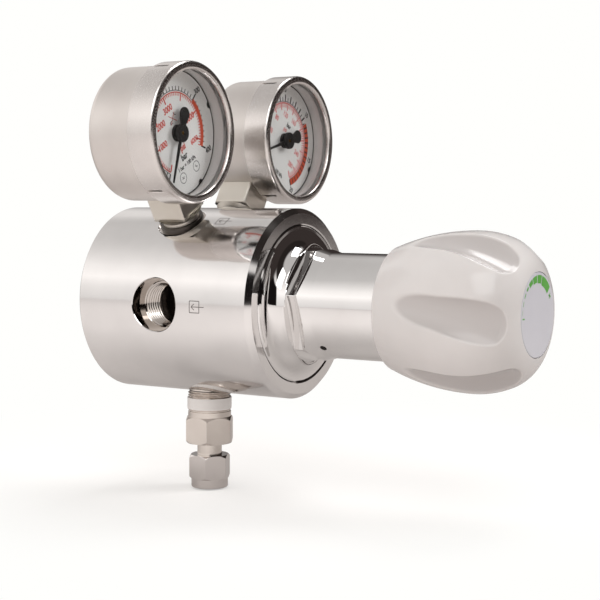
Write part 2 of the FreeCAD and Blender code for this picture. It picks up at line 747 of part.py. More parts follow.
def make_knob(screw_tip):
    front = s.knob_level + s.knob_length
    cavity_end = s.knob_level + s.knob_cavity_depth
    tilt = s.knob_shoulder_angle
    belly = s.knob_level + s.knob_belly
    round_centre = s.knob_radius - s.knob_front_round
    join_x = round_centre + s.knob_front_round * cosine(tilt)
    join_y = belly + s.knob_front_round * sine(tilt)
    nose = (front - join_y) / (1.0 - sine(tilt))
    nose_x, nose_y = join_x - nose * cosine(tilt), front - nose
    half = float(tilt) / 2.0
    recess = s.badge_radius + s.touch_gap * 3.0
    recess_floor = front - s.badge_sunk - s.badge_thickness
    face_angle = math.degrees(math.acos(float(recess - nose_x) / float(nose)))
    middle_angle = (float(tilt) + face_angle) / 2.0
    face_level = nose_y + root(nose * nose - (recess - nose_x) * (recess - nose_x))
    flank = s.knob_radius - s.knob_rear_radius
    flank_rise = s.knob_belly - 1.0
    flank_round = (flank * flank + flank_rise * flank_rise) / (2.0 * flank)
    flank_middle = s.knob_radius - flank_round + root(flank_round * flank_round
                                                      - flank_rise * flank_rise / 4.0)
    lip = s.knob_level + 1.0
    lip_half = (s.knob_rear_radius - s.knob_mouth_radius) / 2.0
    boss_low = cavity_end - s.knob_boss_drop
    head_floor = recess_floor - s.knob_screw_head
    hub_top = cavity_end - s.knob_boss_drop + s.hub_length
    body = make_body("knob")
    sketch = make_sketch(body)
    draw(sketch, [(s.knob_mouth_radius, lip),
                  (s.knob_mouth_radius + lip_half, lip - lip_half, "via"),
                  (s.knob_rear_radius, lip),
                  (flank_middle, belly - flank_rise / 2.0, "via"),
                  (s.knob_radius, belly),
                  (round_centre + s.knob_front_round * cosine(half), belly + s.knob_front_round * sine(half), "via"),
                  (join_x, join_y),
                  (nose_x + nose * cosine(middle_angle), nose_y + nose * sine(middle_angle), "via"),
                  (recess, face_level),
                  (recess, recess_floor),
                  (s.knob_screw_head_radius + s.loose_gap, recess_floor),
                  (s.knob_screw_head_radius + s.loose_gap, head_floor),
                  (s.knob_screw_radius + s.screw_fit, head_floor),
                  (s.knob_screw_radius + s.screw_fit, hub_top),
                  (s.hub_radius, hub_top),
                  (s.hub_radius, boss_low),
                  (s.knob_boss_radius, boss_low),
                  (s.knob_boss_radius, cavity_end),
                  (s.knob_mouth_radius, cavity_end)])
    turn(body, sketch)
    # One flute: a long scoop that widens towards the front, where the grip's own round closes it.
    # Its axis runs outside the grip and slants round it.
    middle = s.knob_belly - 1.0
    sketch = make_sketch(body, "XZ_Plane", slant=s.flute_slant)
    sketch.AttachmentOffset = Placement(Vector(0, float(s.knob_level + middle), 0),
                                        Rotation(Vector(1, 0, 0), float(s.flute_slant)))
    sketch.setExpression(".AttachmentOffset.Base.y", (s.knob_level + middle).text)
    sketch.setExpression(".AttachmentOffset.Base.z", "0")
    reach = s.flute_reach
    start, widening = s.flute_start - middle, s.flute_widening - middle
    widest, end = s.flute_widest - middle, s.flute_end - middle
    blend = (s.flute_radius + s.flute_front_radius) / 2.0 - s.flute_bow
    draw_axis(sketch, reach)
    draw(sketch, [(reach, start),
                  (reach - s.flute_radius, start),
                  (reach - s.flute_radius, widening),
                  (reach - blend, (widening + widest) / 2.0, "via"),
                  (reach - s.flute_front_radius, widest),
                  (reach - s.flute_end_radius, end),
                  (reach, end)])
    flute = turn(body, sketch, cut=True, axis="Axis0")
    repeat(body, flute, s.flute_count)
    on_axis(body)
    spin = Rotation(Vector(0, 0, 1), 180.0 + float(s.flute_phase))
    body.Placement = Placement(Vector(0, 0, 0), FORWARDS * spin)

    hub = turned_piece("knob_hub", ring(s.screw_hex_flats / math.sqrt(3.0) + s.touch_gap, s.hub_radius,
                                        boss_low, hub_top))
    on_axis(hub)
    screw = make_body("adjusting_screw")
    hex_low = boss_low
    sketch = make_sketch(screw)
    draw(sketch, [(0, screw_tip)]
         + beveled(s.screw_radius, screw_tip, 1.0, -1.0, 1.0, True)
         + [(s.screw_radius, hex_low), (0, hex_low)])
    turn(screw, sketch)
    sketch = make_sketch(screw, "XY_Plane", lift=hex_low)
    draw(sketch, hexagon(s.screw_hex_flats))
    pad(screw, sketch, s.hub_length)
    sketch = make_sketch(screw, "XY_Plane", lift=hub_top)
    draw_circle(sketch, 0, 0, s.knob_screw_radius + s.screw_fit)
    pocket(screw, sketch, s.hub_length * 1.4)
    on_axis(screw)
    head_top = recess_floor - s.touch_gap * 2.0
    knob_screw = make_body("knob_screw")
    sketch = make_sketch(knob_screw)
    draw(sketch, [(0, boss_low),
                  (s.knob_screw_radius, boss_low),
                  (s.knob_screw_radius, head_floor),
                  (s.knob_screw_head_radius, head_floor)]
         + beveled(s.knob_screw_head_radius, head_top, 0.5, -1.0, -1.0, False)
         + [(0, head_top)])
    turn(knob_screw, sketch)
    sketch = make_sketch(knob_screw, "XY_Plane", lift=head_top)
    draw(sketch, hexagon(s.knob_screw_radius * 1.6))
    pocket(knob_screw, sketch, s.knob_screw_head * 0.6)
    on_axis(knob_screw)
    on_axis(turned_piece("knob_badge", [(0, recess_floor), (s.badge_radius, recess_floor)]
                         + beveled(s.badge_radius, recess_floor + s.badge_thickness, 0.2, -1.0, -1.0, False)
                         + [(0, recess_floor + s.badge_thickness)]))


# Main valve in the barrel's centre, closed by its spring, opened by the diaphragm.

def make_main_valve():
    floor = s.valve_bore_floor
    seat_top = floor + s.seat_thickness
    body = make_body("valve_nozzle")
    sketch = make_sketch(body)
    top = floor + s.nozzle_length
    outer = s.valve_bore_radius - s.screw_fit
    draw(sketch, [(s.nozzle_bore, seat_top), (s.seat_radius, seat_top), (s.seat_radius, floor), (outer, floor),
                  (outer, top), (s.nozzle_bore, top)])
    turn(body, sketch)
    sketch = make_sketch(body, "XY_Plane", lift=top)
    draw(sketch, hexagon(s.nozzle_hex_flats))
    draw_circle(sketch, 0, 0, s.nozzle_bore)
    pad(body, sketch, s.nozzle_head)
    on_axis(body)
    on_axis(turned_piece("valve_seat", ring(s.seat_bore, s.seat_radius - s.screw_fit, floor, seat_top)))
    face = floor - s.touch_gap
    cone_low = face - s.poppet_cone
    collar_low = cone_low - s.poppet_collar
    stem_top = s.diaphragm_level - s.touch_gap
    on_axis(turned_piece("valve_poppet", [
        (0, collar_low - s.poppet_tail),
        (s.poppet_tail_radius, collar_low - s.poppet_tail),
        (s.poppet_tail_radius, collar_low),
        (s.poppet_radius, collar_low),
        (s.poppet_radius, cone_low),
        (s.seat_bore - 0.3, face),
        (s.poppet_stem_radius, face),
        (s.poppet_stem_radius, stem_top),
        (0, stem_top)]))
    on_axis(coil_piece("poppet_spring", s.poppet_wire, s.poppet_coil_radius, s.supply_bore_floor, collar_low,
                       s.poppet_turns))


# Inlet filter: a sintered cup in the bore behind the inlet thread, kept by a ring.

def make_filter():
    bottom = -s.port_thread_depth
    outer = s.port_bore_radius - s.screw_fit
    ring_low = bottom - s.filter_ring_thickness
    low = ring_low - s.filter_length
    in_port(turned_piece("inlet_filter", [
        (0, low), (outer, low), (outer, ring_low), (outer - s.filter_wall, ring_low),
        (outer - s.filter_wall, low + s.filter_wall), (0, low + s.filter_wall)]), INLET)
    in_port(turned_piece("filter_ring", ring(s.filter_ring_bore, outer, ring_low, bottom)), INLET)


# Relief valve under the barrel, with a compression nut for its vent tube.

def make_relief_valve():
    shank = s.relief_thread_radius - s.screw_fit
    seat = s.relief_seat_level
    spigot_bore = s.relief_spigot_radius + s.screw_fit
    body = turned_piece("relief_body", [
        (s.relief_inlet_radius, s.relief_start)]
        + beveled(shank, s.relief_start, 1.0, -1.0, 1.0, True)
        + [(shank, s.relief_hex_start),
           (spigot_bore, s.relief_hex_start),
           (spigot_bore, s.relief_chamber_end),
           (s.relief_chamber_radius, s.relief_chamber_end),
           (s.relief_chamber_radius, seat),
           (s.relief_inlet_radius, seat)])
    in_port(body, RELIEF)
    in_port(turned_piece("relief_band", ring(shank + s.touch_gap / 2.0, shank + s.relief_band_thickness,
                                             s.relief_thread_end, s.relief_band_end)), RELIEF)
    seal_top = seat + s.touch_gap + s.relief_seal_thickness
    in_port(turned_piece("relief_seal", [
        (0, seat + s.touch_gap), (s.relief_seal_radius, seat + s.touch_gap), (s.relief_seal_radius, seal_top),
        (0, seal_top)]), RELIEF)
    poppet_low = seat + s.touch_gap * 2.0
    poppet_top = poppet_low + s.relief_poppet_length
    in_port(turned_piece("relief_poppet", [
        (0, seal_top), (s.relief_seal_radius + s.screw_fit, seal_top),
        (s.relief_seal_radius + s.screw_fit, poppet_low), (s.relief_poppet_radius, poppet_low),
        (s.relief_poppet_radius, poppet_top), (s.relief_inlet_radius, poppet_top),
        (s.relief_inlet_radius, poppet_top + 2.0), (0, poppet_top + 2.0)]), RELIEF)
    spigot_low = s.relief_chamber_end + s.touch_gap
    in_port(coil_piece("relief_spring", s.relief_wire, s.relief_coil_radius, poppet_top, spigot_low,
                       s.relief_turns), RELIEF)
    cap = make_body("relief_cap")
    trimmed_hex(cap, s.relief_hex_flats, s.relief_hex_start, s.relief_hex_end, s.relief_hex_trim,
                s.relief_hex_angle)
    sketch = make_sketch(cap)
    draw(sketch, rod(s.relief_spigot_radius, spigot_low, s.relief_hex_start))
    turn(cap, sketch)
    sketch = make_sketch(cap)
    draw(sketch, rod(s.stub_radius, s.relief_hex_end, s.stub_end))
    turn(cap, sketch)
    sketch = make_sketch(cap)
    draw(sketch, [(0, spigot_low - 1.0), (s.relief_inlet_radius, spigot_low - 1.0),
                  (s.relief_inlet_radius, s.stub_end - 4.0), (s.tube_radius, s.stub_end - 4.0),
                  (s.tube_radius, s.stub_end - 1.2), (s.ferrule_radius - 0.1, s.stub_end),
                  (s.ferrule_radius - 0.1, s.stub_end + 1.0), (0, s.stub_end + 1.0)])
    turn(cap, sketch, cut=True)
    in_port(cap, RELIEF)
    nut = make_body("outlet_nut")
    trimmed_hex(nut, s.nut_flats, s.nut_start, s.nut_hex_end, s.nut_hex_trim, s.nut_hex_angle)
    sketch = make_sketch(nut)
    draw(sketch, [(0, s.nut_hex_end), (s.nut_collar_radius, s.nut_hex_end)]
         + beveled(s.nut_collar_radius, s.nut_end, 0.7, -1.0, -1.0, False)
         + [(0, s.nut_end)])
    turn(nut, sketch)
    sketch = make_sketch(nut)
    ferrule_room = s.ferrule_radius + s.loose_gap
    ferrule_low = s.stub_end + s.touch_gap
    back_top = ferrule_low + s.front_ferrule_length + s.back_ferrule_length + s.touch_gap
    draw(sketch, [(0, s.nut_start - 1.0),
                  (ferrule_room, s.nut_start - 1.0),
                  (ferrule_room, back_top),
                  (s.tube_radius, back_top + 1.0),
                  (s.tube_radius, s.nut_end + 1.0),
                  (0, s.nut_end + 1.0)])
    turn(nut, sketch, cut=True)
    in_port(nut, RELIEF)
    front_top = ferrule_low + s.front_ferrule_length
    in_port(turned_piece("front_ferrule", [
        (s.tube_radius, ferrule_low), (s.tube_radius + 0.4, ferrule_low), (s.ferrule_radius, front_top),
        (s.tube_radius, front_top)]), RELIEF)
    in_port(turned_piece("back_ferrule", [
        (s.tube_radius, front_top), (s.ferrule_radius, front_top),
        (s.ferrule_radius, front_top + s.back_ferrule_length / 2.0),
        (s.tube_radius + 0.3, front_top + s.back_ferrule_length),
        (s.tube_radius, front_top + s.back_ferrule_length)]), RELIEF)


# A Bourdon gauge: socket and washer in the port, case, tube, movement, dial, pointer and window.

def make_socket(name, angle):
    socket = make_body(f"{name}_socket")
    seat = -s.gauge_seat_depth
    washer_top = seat + s.washer_thickness
    block = s.socket_block_start
    half = s.socket_flats / 2.0
    case_bottom = s.gauge_gap
    case_middle = s.gauge_gap + s.case_radius
    shank_low = 1.0 - s.gauge_port_depth
    sketch = make_sketch(socket)
    collar_top = washer_top + s.socket_collar_height
    draw(sketch, [(0, shank_low)]
         + beveled(s.socket_shank_radius, shank_low, 0.8, -1.0, 1.0, True)
         + [(s.socket_shank_radius, washer_top),
            (s.socket_collar_radius, washer_top),
            (s.socket_collar_radius, collar_top),
            (s.socket_collar_radius + block - collar_top, block),
            (0, block)])
    turn(socket, sketch)
    sketch = make_sketch(socket, "XY_Plane", lift=block)
    draw(sketch, [(-half, -half), (half, -half), (half, half), (-half, half)])
    pad(socket, sketch, case_bottom + 2.0 - block)
    # The block's end is hollowed to the case's curve.
    sketch = make_sketch(socket)
    draw_circle(sketch, 0, case_middle, s.case_radius + s.touch_gap)
    pocket(socket, sketch, s.socket_flats * 2.0, both=True)
    post_low = s.gauge_gap + s.case_wall + 0.8
    for width, low, high in ((s.socket_neck_width, case_bottom - 1.0, post_low),
                             (s.post_width, post_low, case_middle - s.post_top)):
        sketch = make_sketch(socket, "XY_Plane", lift=low)
        draw(sketch, [(-(width / 2.0), 0), (width / 2.0, 0), (width / 2.0, s.socket_neck_depth),
                      (-(width / 2.0), s.socket_neck_depth)])
        pad(socket, sketch, high - low)
    in_port(socket, angle)
    in_port(turned_piece(f"{name}_washer", ring(s.socket_shank_radius + s.loose_gap, s.washer_radius,
                                                seat, washer_top)), angle)


def make_case(name, angle):
    case = make_body(f"{name}_case")
    back, inside = -s.case_depth, s.case_radius - s.case_wall
    inner_round = s.case_round - s.case_wall
    sketch = make_sketch(case)
    draw(sketch, [(0, back)]
         + rounded(s.case_radius, back, s.case_round, -1.0, 1.0, True)
         + [(s.case_radius, s.case_front), (inside, s.case_front)]
         + rounded(inside, back + s.case_wall, inner_round, -1.0, 1.0, False)
         + [(0, back + s.case_wall)])
    turn(case, sketch)
    slot = s.socket_neck_width / 2.0 + s.touch_gap * 2.0
    sketch = make_sketch(case)
    draw(sketch, [(-slot, -s.socket_neck_depth - s.touch_gap * 2.0), (slot, -s.socket_neck_depth - s.touch_gap * 2.0),
                  (slot, s.touch_gap * 2.0), (-slot, s.touch_gap * 2.0)])
    pocket(case, sketch, s.case_radius + 1.0, reverse=True)
    sketch = make_sketch(case, "XY_Plane", lift=back + s.case_wall)
    draw_circle(sketch, 0, s.plug_height, s.plug_radius)
    pocket(case, sketch, s.case_wall + 1.0)
    in_gauge(case, angle)
    plug = make_body(f"{name}_blowout_plug")
    sketch = make_sketch(plug, "XY_Plane", lift=back - 0.8)
    draw_circle(sketch, 0, s.plug_height, s.plug_radius + 1.2)
    pad(plug, sketch, 0.8)
    sketch = make_sketch(plug, "XY_Plane", lift=back)
    draw_circle(sketch, 0, s.plug_height, s.plug_radius - s.touch_gap)
    pad(plug, sketch, s.case_wall + 0.6)
    in_gauge(plug, angle)


def make_front(name, angle):
    inside = s.case_radius - s.case_wall
    gasket_top = s.case_front + s.gasket_thickness
    window_top = gasket_top + s.window_thickness
    lip_low = window_top + s.window_play
    lip_top = lip_low + s.bezel_lip
    in_gauge(turned_piece(f"{name}_gasket", ring(inside, s.case_radius, s.case_front, gasket_top)), angle)
    in_gauge(turned_piece(f"{name}_window", [(0, gasket_top), (s.case_radius - s.touch_gap, gasket_top),
                                             (s.case_radius - s.touch_gap, window_top), (0, window_top)]), angle)
    bezel = make_body(f"{name}_bezel")
    bore = s.case_radius + s.touch_gap
    outer = s.case_radius + s.bezel_wall
    opening = s.case_radius - s.bezel_overlap
    sketch = make_sketch(bezel)
    draw(sketch, [(bore, lip_top - s.bezel_length), (outer, lip_top - s.bezel_length)]
         + rounded(outer, lip_top, s.bezel_round, -1.0, -1.0, False)
         + [(opening + 0.5, lip_top), (opening, lip_top - 0.5), (opening, lip_low), (bore, lip_low)])
    turn(bezel, sketch)
    sketch = make_sketch(bezel)
    half = s.notch_width / 2.0
    low = lip_top - s.bezel_length
    draw(sketch, [(-half, low - 1.0), (half, low - 1.0), (half, low + s.notch_depth), (-half, low + s.notch_depth)])
    notch = pocket(bezel, sketch, outer + 1.0)
    repeat(bezel, notch, 4)
    in_gauge(bezel, angle)
    dial = make_body(f"{name}_dial")
    low = s.dial_level - s.dial_thickness
    rim = inside - s.dial_play
    sketch = make_sketch(dial, "XY_Plane", lift=low)
    draw_circle(sketch, 0, 0, rim)
    draw_circle(sketch, 0, 0, s.pinion_shaft_radius + s.loose_gap)
    pad(dial, sketch, s.dial_thickness)
    for notch_angle in (0.0, -80.0, 180.0):
        sketch = make_sketch(dial, "XY_Plane", lift=s.dial_level)
        draw_circle(sketch, rim * cosine(notch_angle), rim * sine(notch_angle), s.dial_notch_radius)
        pocket(dial, sketch, s.dial_thickness)
    in_gauge(dial, angle)


def make_pointer(name, angle):
    pointer = make_body(f"{name}_pointer")
    swing = s.scale_start
    hub = s.pointer_hub_radius
    sketch = make_sketch(pointer, "XY_Plane", lift=s.pointer_level, turn=swing)
    half, tip = s.pointer_width / 2.0, s.pointer_tip_width / 2.0
    draw(sketch, [(-half, 0), (half, 0), (tip, s.pointer_reach), (-tip, s.pointer_reach)])
    pad(pointer, sketch, s.pointer_thickness)
    half = s.pointer_paddle / 2.0
    sketch = make_sketch(pointer, "XY_Plane", lift=s.pointer_level, turn=swing)
    wide = -(s.pointer_tail - half * 0.8)
    waist = s.pointer_waist / 2.0
    draw(sketch, [(-waist, 0), (-half, wide), (0, -s.pointer_tail, "via"), (half, wide), (waist, 0)])
    pad(pointer, sketch, s.pointer_thickness)
    shaft = s.pinion_shaft_radius + s.touch_gap / 5.0
    sketch = make_sketch(pointer)
    low = s.pointer_level - 0.6
    high = s.pointer_level + s.pointer_hub_height
    draw(sketch, [(0, low), (hub * 0.7, low), (hub * 0.7, s.pointer_level), (hub, s.pointer_level)]
         + beveled(hub, high, 0.4, -1.0, -1.0, False)
         + [(0, high)])
    turn(pointer, sketch)
    sketch = make_sketch(pointer)
    draw(sketch, rod(shaft, low - 1.0, high - 0.4))
    turn(pointer, sketch, cut=True)
    in_gauge(pointer, angle)
    return high - 0.4


def tooth(body, tip_angle, pitch_radius, level, face):
    """One gear tooth with straight flanks, standing at an angle on its root circle."""
    low = pitch_radius - s.tooth_dedendum - 0.1
    high = pitch_radius + s.tooth_addendum
    sketch = make_sketch(body, "XY_Plane", lift=level, turn=tip_angle - 90.0)
    draw(sketch, [(-s.tooth_half_root, low), (s.tooth_half_root, low), (s.tooth_half_tip, high),
                  (-s.tooth_half_tip, high)])
    return pad(body, sketch, face)


def make_movement(name, angle, shaft_top):
    centres = s.gear_module * (s.pinion_teeth + s.sector_circle_teeth) / 2.0
    away = float(s.mesh_angle) - 180.0
    pivot_x, pivot_y = centres * cosine(away), centres * sine(away)
    gear_level = s.sector_level
    back = s.touch_gap * 2.0
    rear_plate_top = s.frame_plate
    # The pinion's shaft carries the pointer; a gap between two teeth faces the sector at rest.
    pinion = make_body(f"{name}_pinion")
    pitch = s.gear_module * s.pinion_teeth / 2.0
    face_low = gear_level - (s.pinion_face - s.sector_face) / 2.0
    sketch = make_sketch(pinion)
    root_radius = pitch - s.tooth_dedendum
    draw(sketch, [(0, back), (s.pinion_shaft_radius, back), (s.pinion_shaft_radius, face_low),
                  (root_radius, face_low), (root_radius, face_low + s.pinion_face),
                  (s.pinion_shaft_radius, face_low + s.pinion_face), (s.pinion_shaft_radius, shaft_top),
                  (0, shaft_top)])
    turn(pinion, sketch)
    first = tooth(pinion, away + 180.0 / float(s.pinion_teeth), pitch, face_low, s.pinion_face)
    repeat(pinion, first, s.pinion_teeth)
    in_gauge(pinion, angle)
    # The sector is drawn about its own pivot and stands beside the pinion.
    sector = make_body(f"{name}_sector_gear")
    pitch = s.gear_module * s.sector_circle_teeth / 2.0
    step = 360.0 / float(s.sector_circle_teeth)
    last = float(s.mesh_angle) + step
    first_angle = last - step * (float(s.sector_teeth) - 1.0)
    sketch = make_sketch(sector)
    draw(sketch, [(0, back), (s.sector_arbor_radius, back), (s.sector_arbor_radius, gear_level),
                  (s.sector_hub_radius, gear_level), (s.sector_hub_radius, gear_level + s.sector_face),
                  (s.sector_arbor_radius, gear_level + s.sector_face),
                  (s.sector_arbor_radius, s.frame_height + s.frame_plate - back),
                  (0, s.frame_height + s.frame_plate - back)])
    turn(sector, sketch)
    sketch = make_sketch(sector, "XY_Plane", lift=gear_level)
    rim = pitch - s.tooth_dedendum
    inner = rim - 1.6
    edge_low, edge_high = first_angle - step / 2.0, last + step / 2.0
    middle = (edge_low + edge_high) / 2.0
    draw(sketch, [(rim * cosine(edge_low), rim * sine(edge_low)),
                  (rim * cosine(middle), rim * sine(middle), "via"),
                  (rim * cosine(edge_high), rim * sine(edge_high)),
                  (inner * cosine(edge_high), inner * sine(edge_high)),
                  (inner * cosine(middle), inner * sine(middle), "via"),
                  (inner * cosine(edge_low), inner * sine(edge_low))])
    pad(sector, sketch, s.sector_face)
    half = s.tail_width / 2.0
    for arm, reach in ((middle, inner), (float(s.tail_angle), s.tail_reach)):
        sketch = make_sketch(sector, "XY_Plane", lift=gear_level, turn=arm - 90.0)
        draw(sketch, [(-half, 0), (half, 0), (half, reach), (0, reach + half, "via"), (-half, reach)])
        pad(sector, sketch, s.sector_face)
    link_low = gear_level + s.sector_face + s.link_gap
    tail_x = s.tail_reach * cosine(s.tail_angle)
    tail_y = s.tail_reach * sine(s.tail_angle)
    sketch = make_sketch(sector, "XY_Plane", lift=gear_level + s.sector_face)
    draw_circle(sketch, tail_x, tail_y, s.link_pin_radius)
    pad(sector, sketch, s.link_gap + s.link_thickness)
    first = tooth(sector, last, pitch, gear_level, s.sector_face)
    pattern = repeat(sector, first, s.sector_teeth, step * (s.sector_teeth - 1.0))
    pattern.Reversed = True
    in_gauge(sector, angle)
    sector.Placement = sector.Placement * Placement(Vector(float(pivot_x), float(pivot_y), 0), Rotation())
    # The link runs from the sector's tail to the free end of the tube.
    tip_x = s.bourdon_radius * cosine(s.bourdon_tip_angle)
    tip_y = s.bourdon_radius * sine(s.bourdon_tip_angle)
    start_x, start_y = pivot_x + tail_x, pivot_y + tail_y
    run_x, run_y = tip_x - start_x, tip_y - start_y
    length = root(run_x * run_x + run_y * run_y)
    lean = math.degrees(math.atan2(float(run_y), float(run_x))) - 90.0
    half = s.link_width / 2.0
    link = make_body(f"{name}_link")
    sketch = make_sketch(link, "XY_Plane", lift=link_low)
    draw(sketch, [(-half, 0), (0, -half, "via"), (half, 0), (half, length), (0, length + half, "via"),
                  (-half, length)])
    draw_circle(sketch, 0, 0, s.link_pin_radius + s.running_fit)
    pad(link, sketch, s.link_thickness)
    in_gauge(link, angle)
    link.Placement = link.Placement * Placement(Vector(float(start_x), float(start_y), 0),
                                                Rotation(Vector(0, 0, 1), lean))
    # Two plates on pillars hold both arbors; two of the pillars reach the dial.
    frame = make_body(f"{name}_movement_frame")
    foot = -(s.post_top + 3.0)
    side = s.post_width / 2.0
    pillars = ((pivot_x - 4.2, pivot_y - 4.2), (-6.0, 4.0))
    outline = [(-8.4, 1.0), (-side, foot), (side, foot), (pivot_x + 2.8, pivot_y - 2.8), (pivot_x + 2.8, pivot_y + 2.0),
               (2.0, 3.4), (-6.4, 6.4)]
    holes = ((0, 0, s.pinion_shaft_radius + s.running_fit), (pivot_x, pivot_y, s.sector_arbor_radius + s.running_fit))
    dial_back = s.dial_level - s.dial_thickness
    sketch = make_sketch(frame, "XY_Plane")
    draw(sketch, outline)
    pad(frame, sketch, rear_plate_top)
    sketch = make_sketch(frame, "XY_Plane", lift=rear_plate_top)
    for x, y in pillars:
        draw_circle(sketch, x, y, s.pillar_radius)
    pad(frame, sketch, dial_back - rear_plate_top)
    sketch = make_sketch(frame, "XY_Plane", lift=s.frame_height)
    draw(sketch, outline)
    pad(frame, sketch, s.frame_plate)
    sketch = make_sketch(frame, "XY_Plane", lift=s.frame_height + s.frame_plate)
    for x, y, radius in holes:
        draw_circle(sketch, x, y, radius)
    pocket(frame, sketch, s.frame_height + s.frame_plate * 2.0)
    in_gauge(frame, angle)
    # The tube is a flat C from the post's side round to its free end, which carries a small block.
    tube = make_body(f"{name}_bourdon_tube")
    tip = float(s.bourdon_tip_angle)
    inner_edge = s.bourdon_radius - s.bourdon_width / 2.0
    post_angle = 180.0 + math.degrees(math.acos(float((side + s.touch_gap) / inner_edge)))
    sketch = make_sketch(tube)
    sketch.AttachmentOffset = Placement(Vector(0, 0, 0), Rotation(Vector(0, 1, 0), tip))
    half_width, half_height = s.bourdon_width / 2.0, s.bourdon_height / 2.0
    level = s.bourdon_level
    middle = s.bourdon_radius
    straight = half_height - half_width
    draw(sketch, [(middle + half_width, level - straight), (middle + half_width, level + straight),
                  (middle, level + half_height, "via"), (middle - half_width, level + straight),
                  (middle - half_width, level - straight), (middle, level - half_height, "via")])
    turn(tube, sketch, angle=post_angle - tip)
    sketch = make_sketch(tube, "XY_Plane", lift=level - half_height, turn=tip)
    block = s.bourdon_tip_size / 2.0
    draw(sketch, [(middle - block, -block), (middle + block, -block), (middle + block, block), (middle - block, block)])
    pad(tube, sketch, link_low - s.touch_gap * 2.0 - level + half_height)
    in_gauge(tube, angle)


def make_gauge(name, angle):
    make_socket(name, angle)
    make_case(name, angle)
    make_front(name, angle)
    shaft_top = make_pointer(name, angle)
    make_movement(name, angle, shaft_top)


make_barrel()
make_bonnet()
screw_tip = make_diaphragm_stack()
make_knob(screw_tip)
make_main_valve()
make_filter()
make_relief_valve()
make_gauge("high_gauge", HIGH_GAUGE)
make_gauge("low_gauge", LOW_GAUGE)
doc.recompute()


# Checks, then one file for each piece

def faults():
    found = []
    for item in doc.Objects:
        if "Invalid" in item.State or "Error" in item.State:
            found.append(f"{item.Label}: {item.State}")
        cutting = item.TypeId in ("PartDesign::Pocket", "PartDesign::Groove")
        if cutting and item.BaseFeature.Shape.Volume - item.Shape.Volume < 1e-3:
            found.append(f"{item.Label} cuts nothing")
    return found


def write_pieces():
    os.makedirs(NODES_FOLDER, exist_ok=True)
    pieces = [item for item in doc.Objects if item.TypeId == "PartDesign::Body"]
    for piece in pieces:
        if piece.Shape.isNull() or not piece.Shape.isValid():
            raise RuntimeError(f"{piece.Label} has no valid shape")
    for piece in pieces:
        piece.Shape.exportStep(os.path.join(NODES_FOLDER, piece.Label + ".step"))
    print(len(pieces), "pieces written")


problems = faults()
if problems:
    raise RuntimeError("; ".join(problems))
write_pieces()
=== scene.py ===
import json
import math

import bpy
import numpy as np
from mathutils import Matrix, Vector


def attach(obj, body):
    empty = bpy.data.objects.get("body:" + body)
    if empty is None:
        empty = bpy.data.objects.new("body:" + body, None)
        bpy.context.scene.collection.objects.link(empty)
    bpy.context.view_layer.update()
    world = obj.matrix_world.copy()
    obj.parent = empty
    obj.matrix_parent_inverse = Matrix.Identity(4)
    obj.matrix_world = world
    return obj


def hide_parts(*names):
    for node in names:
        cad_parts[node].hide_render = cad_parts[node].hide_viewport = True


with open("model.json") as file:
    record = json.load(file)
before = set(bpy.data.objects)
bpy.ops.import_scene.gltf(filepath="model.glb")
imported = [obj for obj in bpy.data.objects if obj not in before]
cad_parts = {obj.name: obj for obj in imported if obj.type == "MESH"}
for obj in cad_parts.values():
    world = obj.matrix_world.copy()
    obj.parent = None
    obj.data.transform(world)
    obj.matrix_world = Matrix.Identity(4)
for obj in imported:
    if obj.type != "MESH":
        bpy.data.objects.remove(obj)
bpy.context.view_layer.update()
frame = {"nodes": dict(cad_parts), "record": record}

scene = bpy.context.scene
scene.view_settings.view_transform = "Standard"
turnFull = 2 * math.pi


# Every surface is worked out in millimetres in the frame that suits it, then set in the row frame:
# along the main axis z runs forwards from the rear face, in a port z runs outwards from the axis,
# and in a gauge z runs forwards from the dial's middle and y away from the main axis.

stations = {"portLevel": 35.5, "gaugeReach": 71.0, "gaugeTilt": 30.0}


def onAxis(p):
    # from the main axis' frame: z forwards, y up
    return np.stack([p[..., 0], -p[..., 2], p[..., 1]], -1) * 0.001


def inPort(angle):
    # from the frame of a port that stands at that angle, turned from straight up to the inlet side
    c, s = math.cos(math.radians(angle)), math.sin(math.radians(angle))

    def place(p):
        x, y, z = p[..., 0], p[..., 1], p[..., 2]
        return np.stack([x * c - z * s, y - stations["portLevel"], x * s + z * c], -1) * 0.001
    return place


def inGauge(angle):
    # from the frame of the gauge on that port: z forwards from the middle of its case
    c, s = math.cos(math.radians(angle)), math.sin(math.radians(angle))
    reach = stations["gaugeReach"]

    def place(p):
        x, y, z = p[..., 0], p[..., 1] + reach, p[..., 2]
        return np.stack([x * c - y * s, -z - stations["portLevel"], x * s + y * c], -1) * 0.001
    return place


def polar(r, a, z):
    # angle a runs from straight up towards the inlet side
    r, a, z = np.broadcast_arrays(r, a, z)
    return np.stack([-r * np.sin(a), r * np.cos(a), z], -1)


# A patch is a grid of points with a grid of normals. Patches that meet share their edge points, so
# the finished mesh is closed, while each keeps its own normals, so its edges stay crisp.

def patchOf(points, normals):
    return np.asarray(points, float), np.asarray(normals, float)


def sheetPatch(shape, us, vs, flip=False, step=1e-4):
    # points of shape(u, v) on the grid us by vs, with the normal from the cross product of the
    # two directions in which the surface runs
    u, v = np.meshgrid(us, vs, indexing="ij")
    along = shape(u + step, v) - shape(u - step, v)
    across = shape(u, v + step) - shape(u, v - step)
    n = np.cross(along, across)
    n /= np.maximum(np.linalg.norm(n, axis=-1, keepdims=True), 1e-12)
    return patchOf(shape(u, v), -n if flip else n)


def line(a, b, rows=1):
    # straight run of a profile: its normal is its direction turned a quarter to the right
    a, b = np.array(a, float), np.array(b, float)
    t = np.linspace(0, 1, rows + 1)[:, None]
    d = (b - a) / np.linalg.norm(b - a)
    return a + (b - a) * t, np.tile([d[1], -d[0]], (rows + 1, 1))


